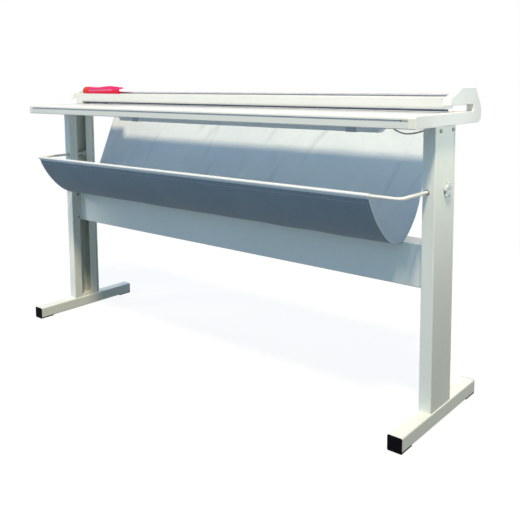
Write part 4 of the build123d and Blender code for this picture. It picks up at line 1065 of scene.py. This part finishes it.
# floor, world and lamps
studio = {
    "floor": 7.0,                    # half its side
    "bounce": (0.11, 0.12, 0.13),    # the floor's colour for the light that it sends back
    "catch": 0.13,                   # how much of the lamps' light and shadow shows on the floor
    "glow": 0.89,
    "fade": (1.3, 2.6),              # metres from the middle, to where the floor is plain white
    "zenith": (0.28, 0.48, 0.76),
    "horizon": (0.60, 0.96, 1.34),
    "climb": 0.7,                    # height of the direction where the zenith's colour starts
    "rightSky": (0.13, 0.20, 0.21),
    "rightward": 0.7,
    "middle": (0.0, 0.0, 0.6),       # where a lamp without an aim of its own points
}
lamps = {
    "keyLamp": {
        "way": (2.9, -3.6, 8.7), "reach": 9.8, "size": 1.2, "level": 1.09, "tint": (1.0, 0.85, 0.62),
    },
    "sideLamp": {
        "aim": (0.88, 0.0, 0.93), "way": (1, 0, 0), "reach": 0.75, "size": 0.4, "spread": 86.0,
        "level": 0.15, "tint": (0.93, 1.0, 1.0),
    },
    "fillLamp": {
        "aim": (-0.90, -0.064, 0.33), "way": (-0.64, -0.69, 0.65), "reach": 1.14, "size": 0.25,
        "spread": 26.0, "level": 0.016, "tint": (1.0, 0.92, 0.74),
    },
    "rearLamp": {
        "way": (-0.30, 0.90, 0.30), "reach": 4.2, "size": 3.6, "level": 0.24, "tint": (1.0, 0.86, 0.68),
    },
}


def seenDirectly(tree):
    path = place(tree, "LightPath", {})
    either = maths(tree, "MAXIMUM", path["Is Camera Ray"], path["Is Glossy Ray"])
    return maths(tree, "MAXIMUM", either, path["Is Transmission Ray"])


def makeFloor():
    # a white that glows and takes the shadow where it is seen, and a plain grey for all other light
    half = studio["floor"]
    corners = np.array([(-half, -half, 0), (half, -half, 0), (half, half, 0), (-half, half, 0)], float)
    made = bpy.data.materials.new("paleFloor")
    made.use_nodes = True
    tree = made.node_tree
    tree.nodes.clear()
    away = place(tree, "VectorMath", {0: objectPlace(tree)}, operation="LENGTH")["Value"]
    out = spread(tree, away, *studio["fade"])
    catch = times(tree, maths(tree, "SUBTRACT", 1.0, out), studio["catch"])
    glow = maths(tree, "ADD", studio["glow"], times(tree, out, 1.0 - studio["glow"]))
    tone = place(tree, "CombineColor", {0: catch, 1: catch, 2: catch})[0]
    shade = place(tree, "BsdfDiffuse", {"Color": tone})
    light = place(tree, "Emission", {"Strength": glow})
    seen = place(tree, "AddShader", {0: shade[0], 1: light[0]})
    unseen = place(tree, "BsdfDiffuse", {"Color": colour(studio["bounce"])})
    both = place(tree, "MixShader", {0: seenDirectly(tree), 1: unseen[0], 2: seen[0]})
    place(tree, "OutputMaterial", {0: both[0]})
    plane = meshPiece("studioFloor", corners, [[0, 1, 2, 3]], smooth=False)
    plane.data.materials.append(made)


def makeWorld():
    # white where it is seen, and a sky that darkens upwards and to the right for all other light
    world = bpy.data.worlds.new("studioWorld")
    bpy.context.scene.world = world
    world.use_nodes = True
    tree = world.node_tree
    tree.nodes.clear()
    way = parted(tree, place(tree, "TexCoord", {})["Generated"])
    height = spread(tree, way[2], 0.0, studio["climb"])
    sky = mixed(tree, height, colour(studio["horizon"]), colour(studio["zenith"]))
    sky = mixed(tree, spread(tree, way[0], 0.0, studio["rightward"]), sky, colour(studio["rightSky"]))
    light = place(tree, "Background", {"Color": sky})
    white = place(tree, "Background", {"Color": (1, 1, 1, 1), "Strength": 1.0})
    both = place(tree, "MixShader", {0: seenDirectly(tree), 1: light[0], 2: white[0]})
    place(tree, "OutputWorld", {0: both[0]})


def makeLamp(name, look):
    # the power gives a white face turned to the lamp the level that is asked for
    lamp = bpy.data.lights.new(name, "AREA")
    lamp.shape = "DISK"
    lamp.size = look["size"]
    lamp.energy = look["level"] * pi * pi * look["reach"] ** 2
    lamp.color = look["tint"]
    lamp.spread = radians(look.get("spread", 180.0))
    made = bpy.data.objects.new(name, lamp)
    bpy.context.scene.collection.objects.link(made)
    way = Vector(look["way"]).normalized()
    made.location = Vector(look.get("aim", studio["middle"])) + way * look["reach"]
    made.rotation_euler = way.to_track_quat("Z", "Y").to_euler()
    made.visible_camera = False


makeFloor()
makeWorld()
for lampName, lampLook in lamps.items():
    makeLamp(lampName, lampLook)
bpy.context.scene.view_settings.view_transform = "Standard"
print("studio made")
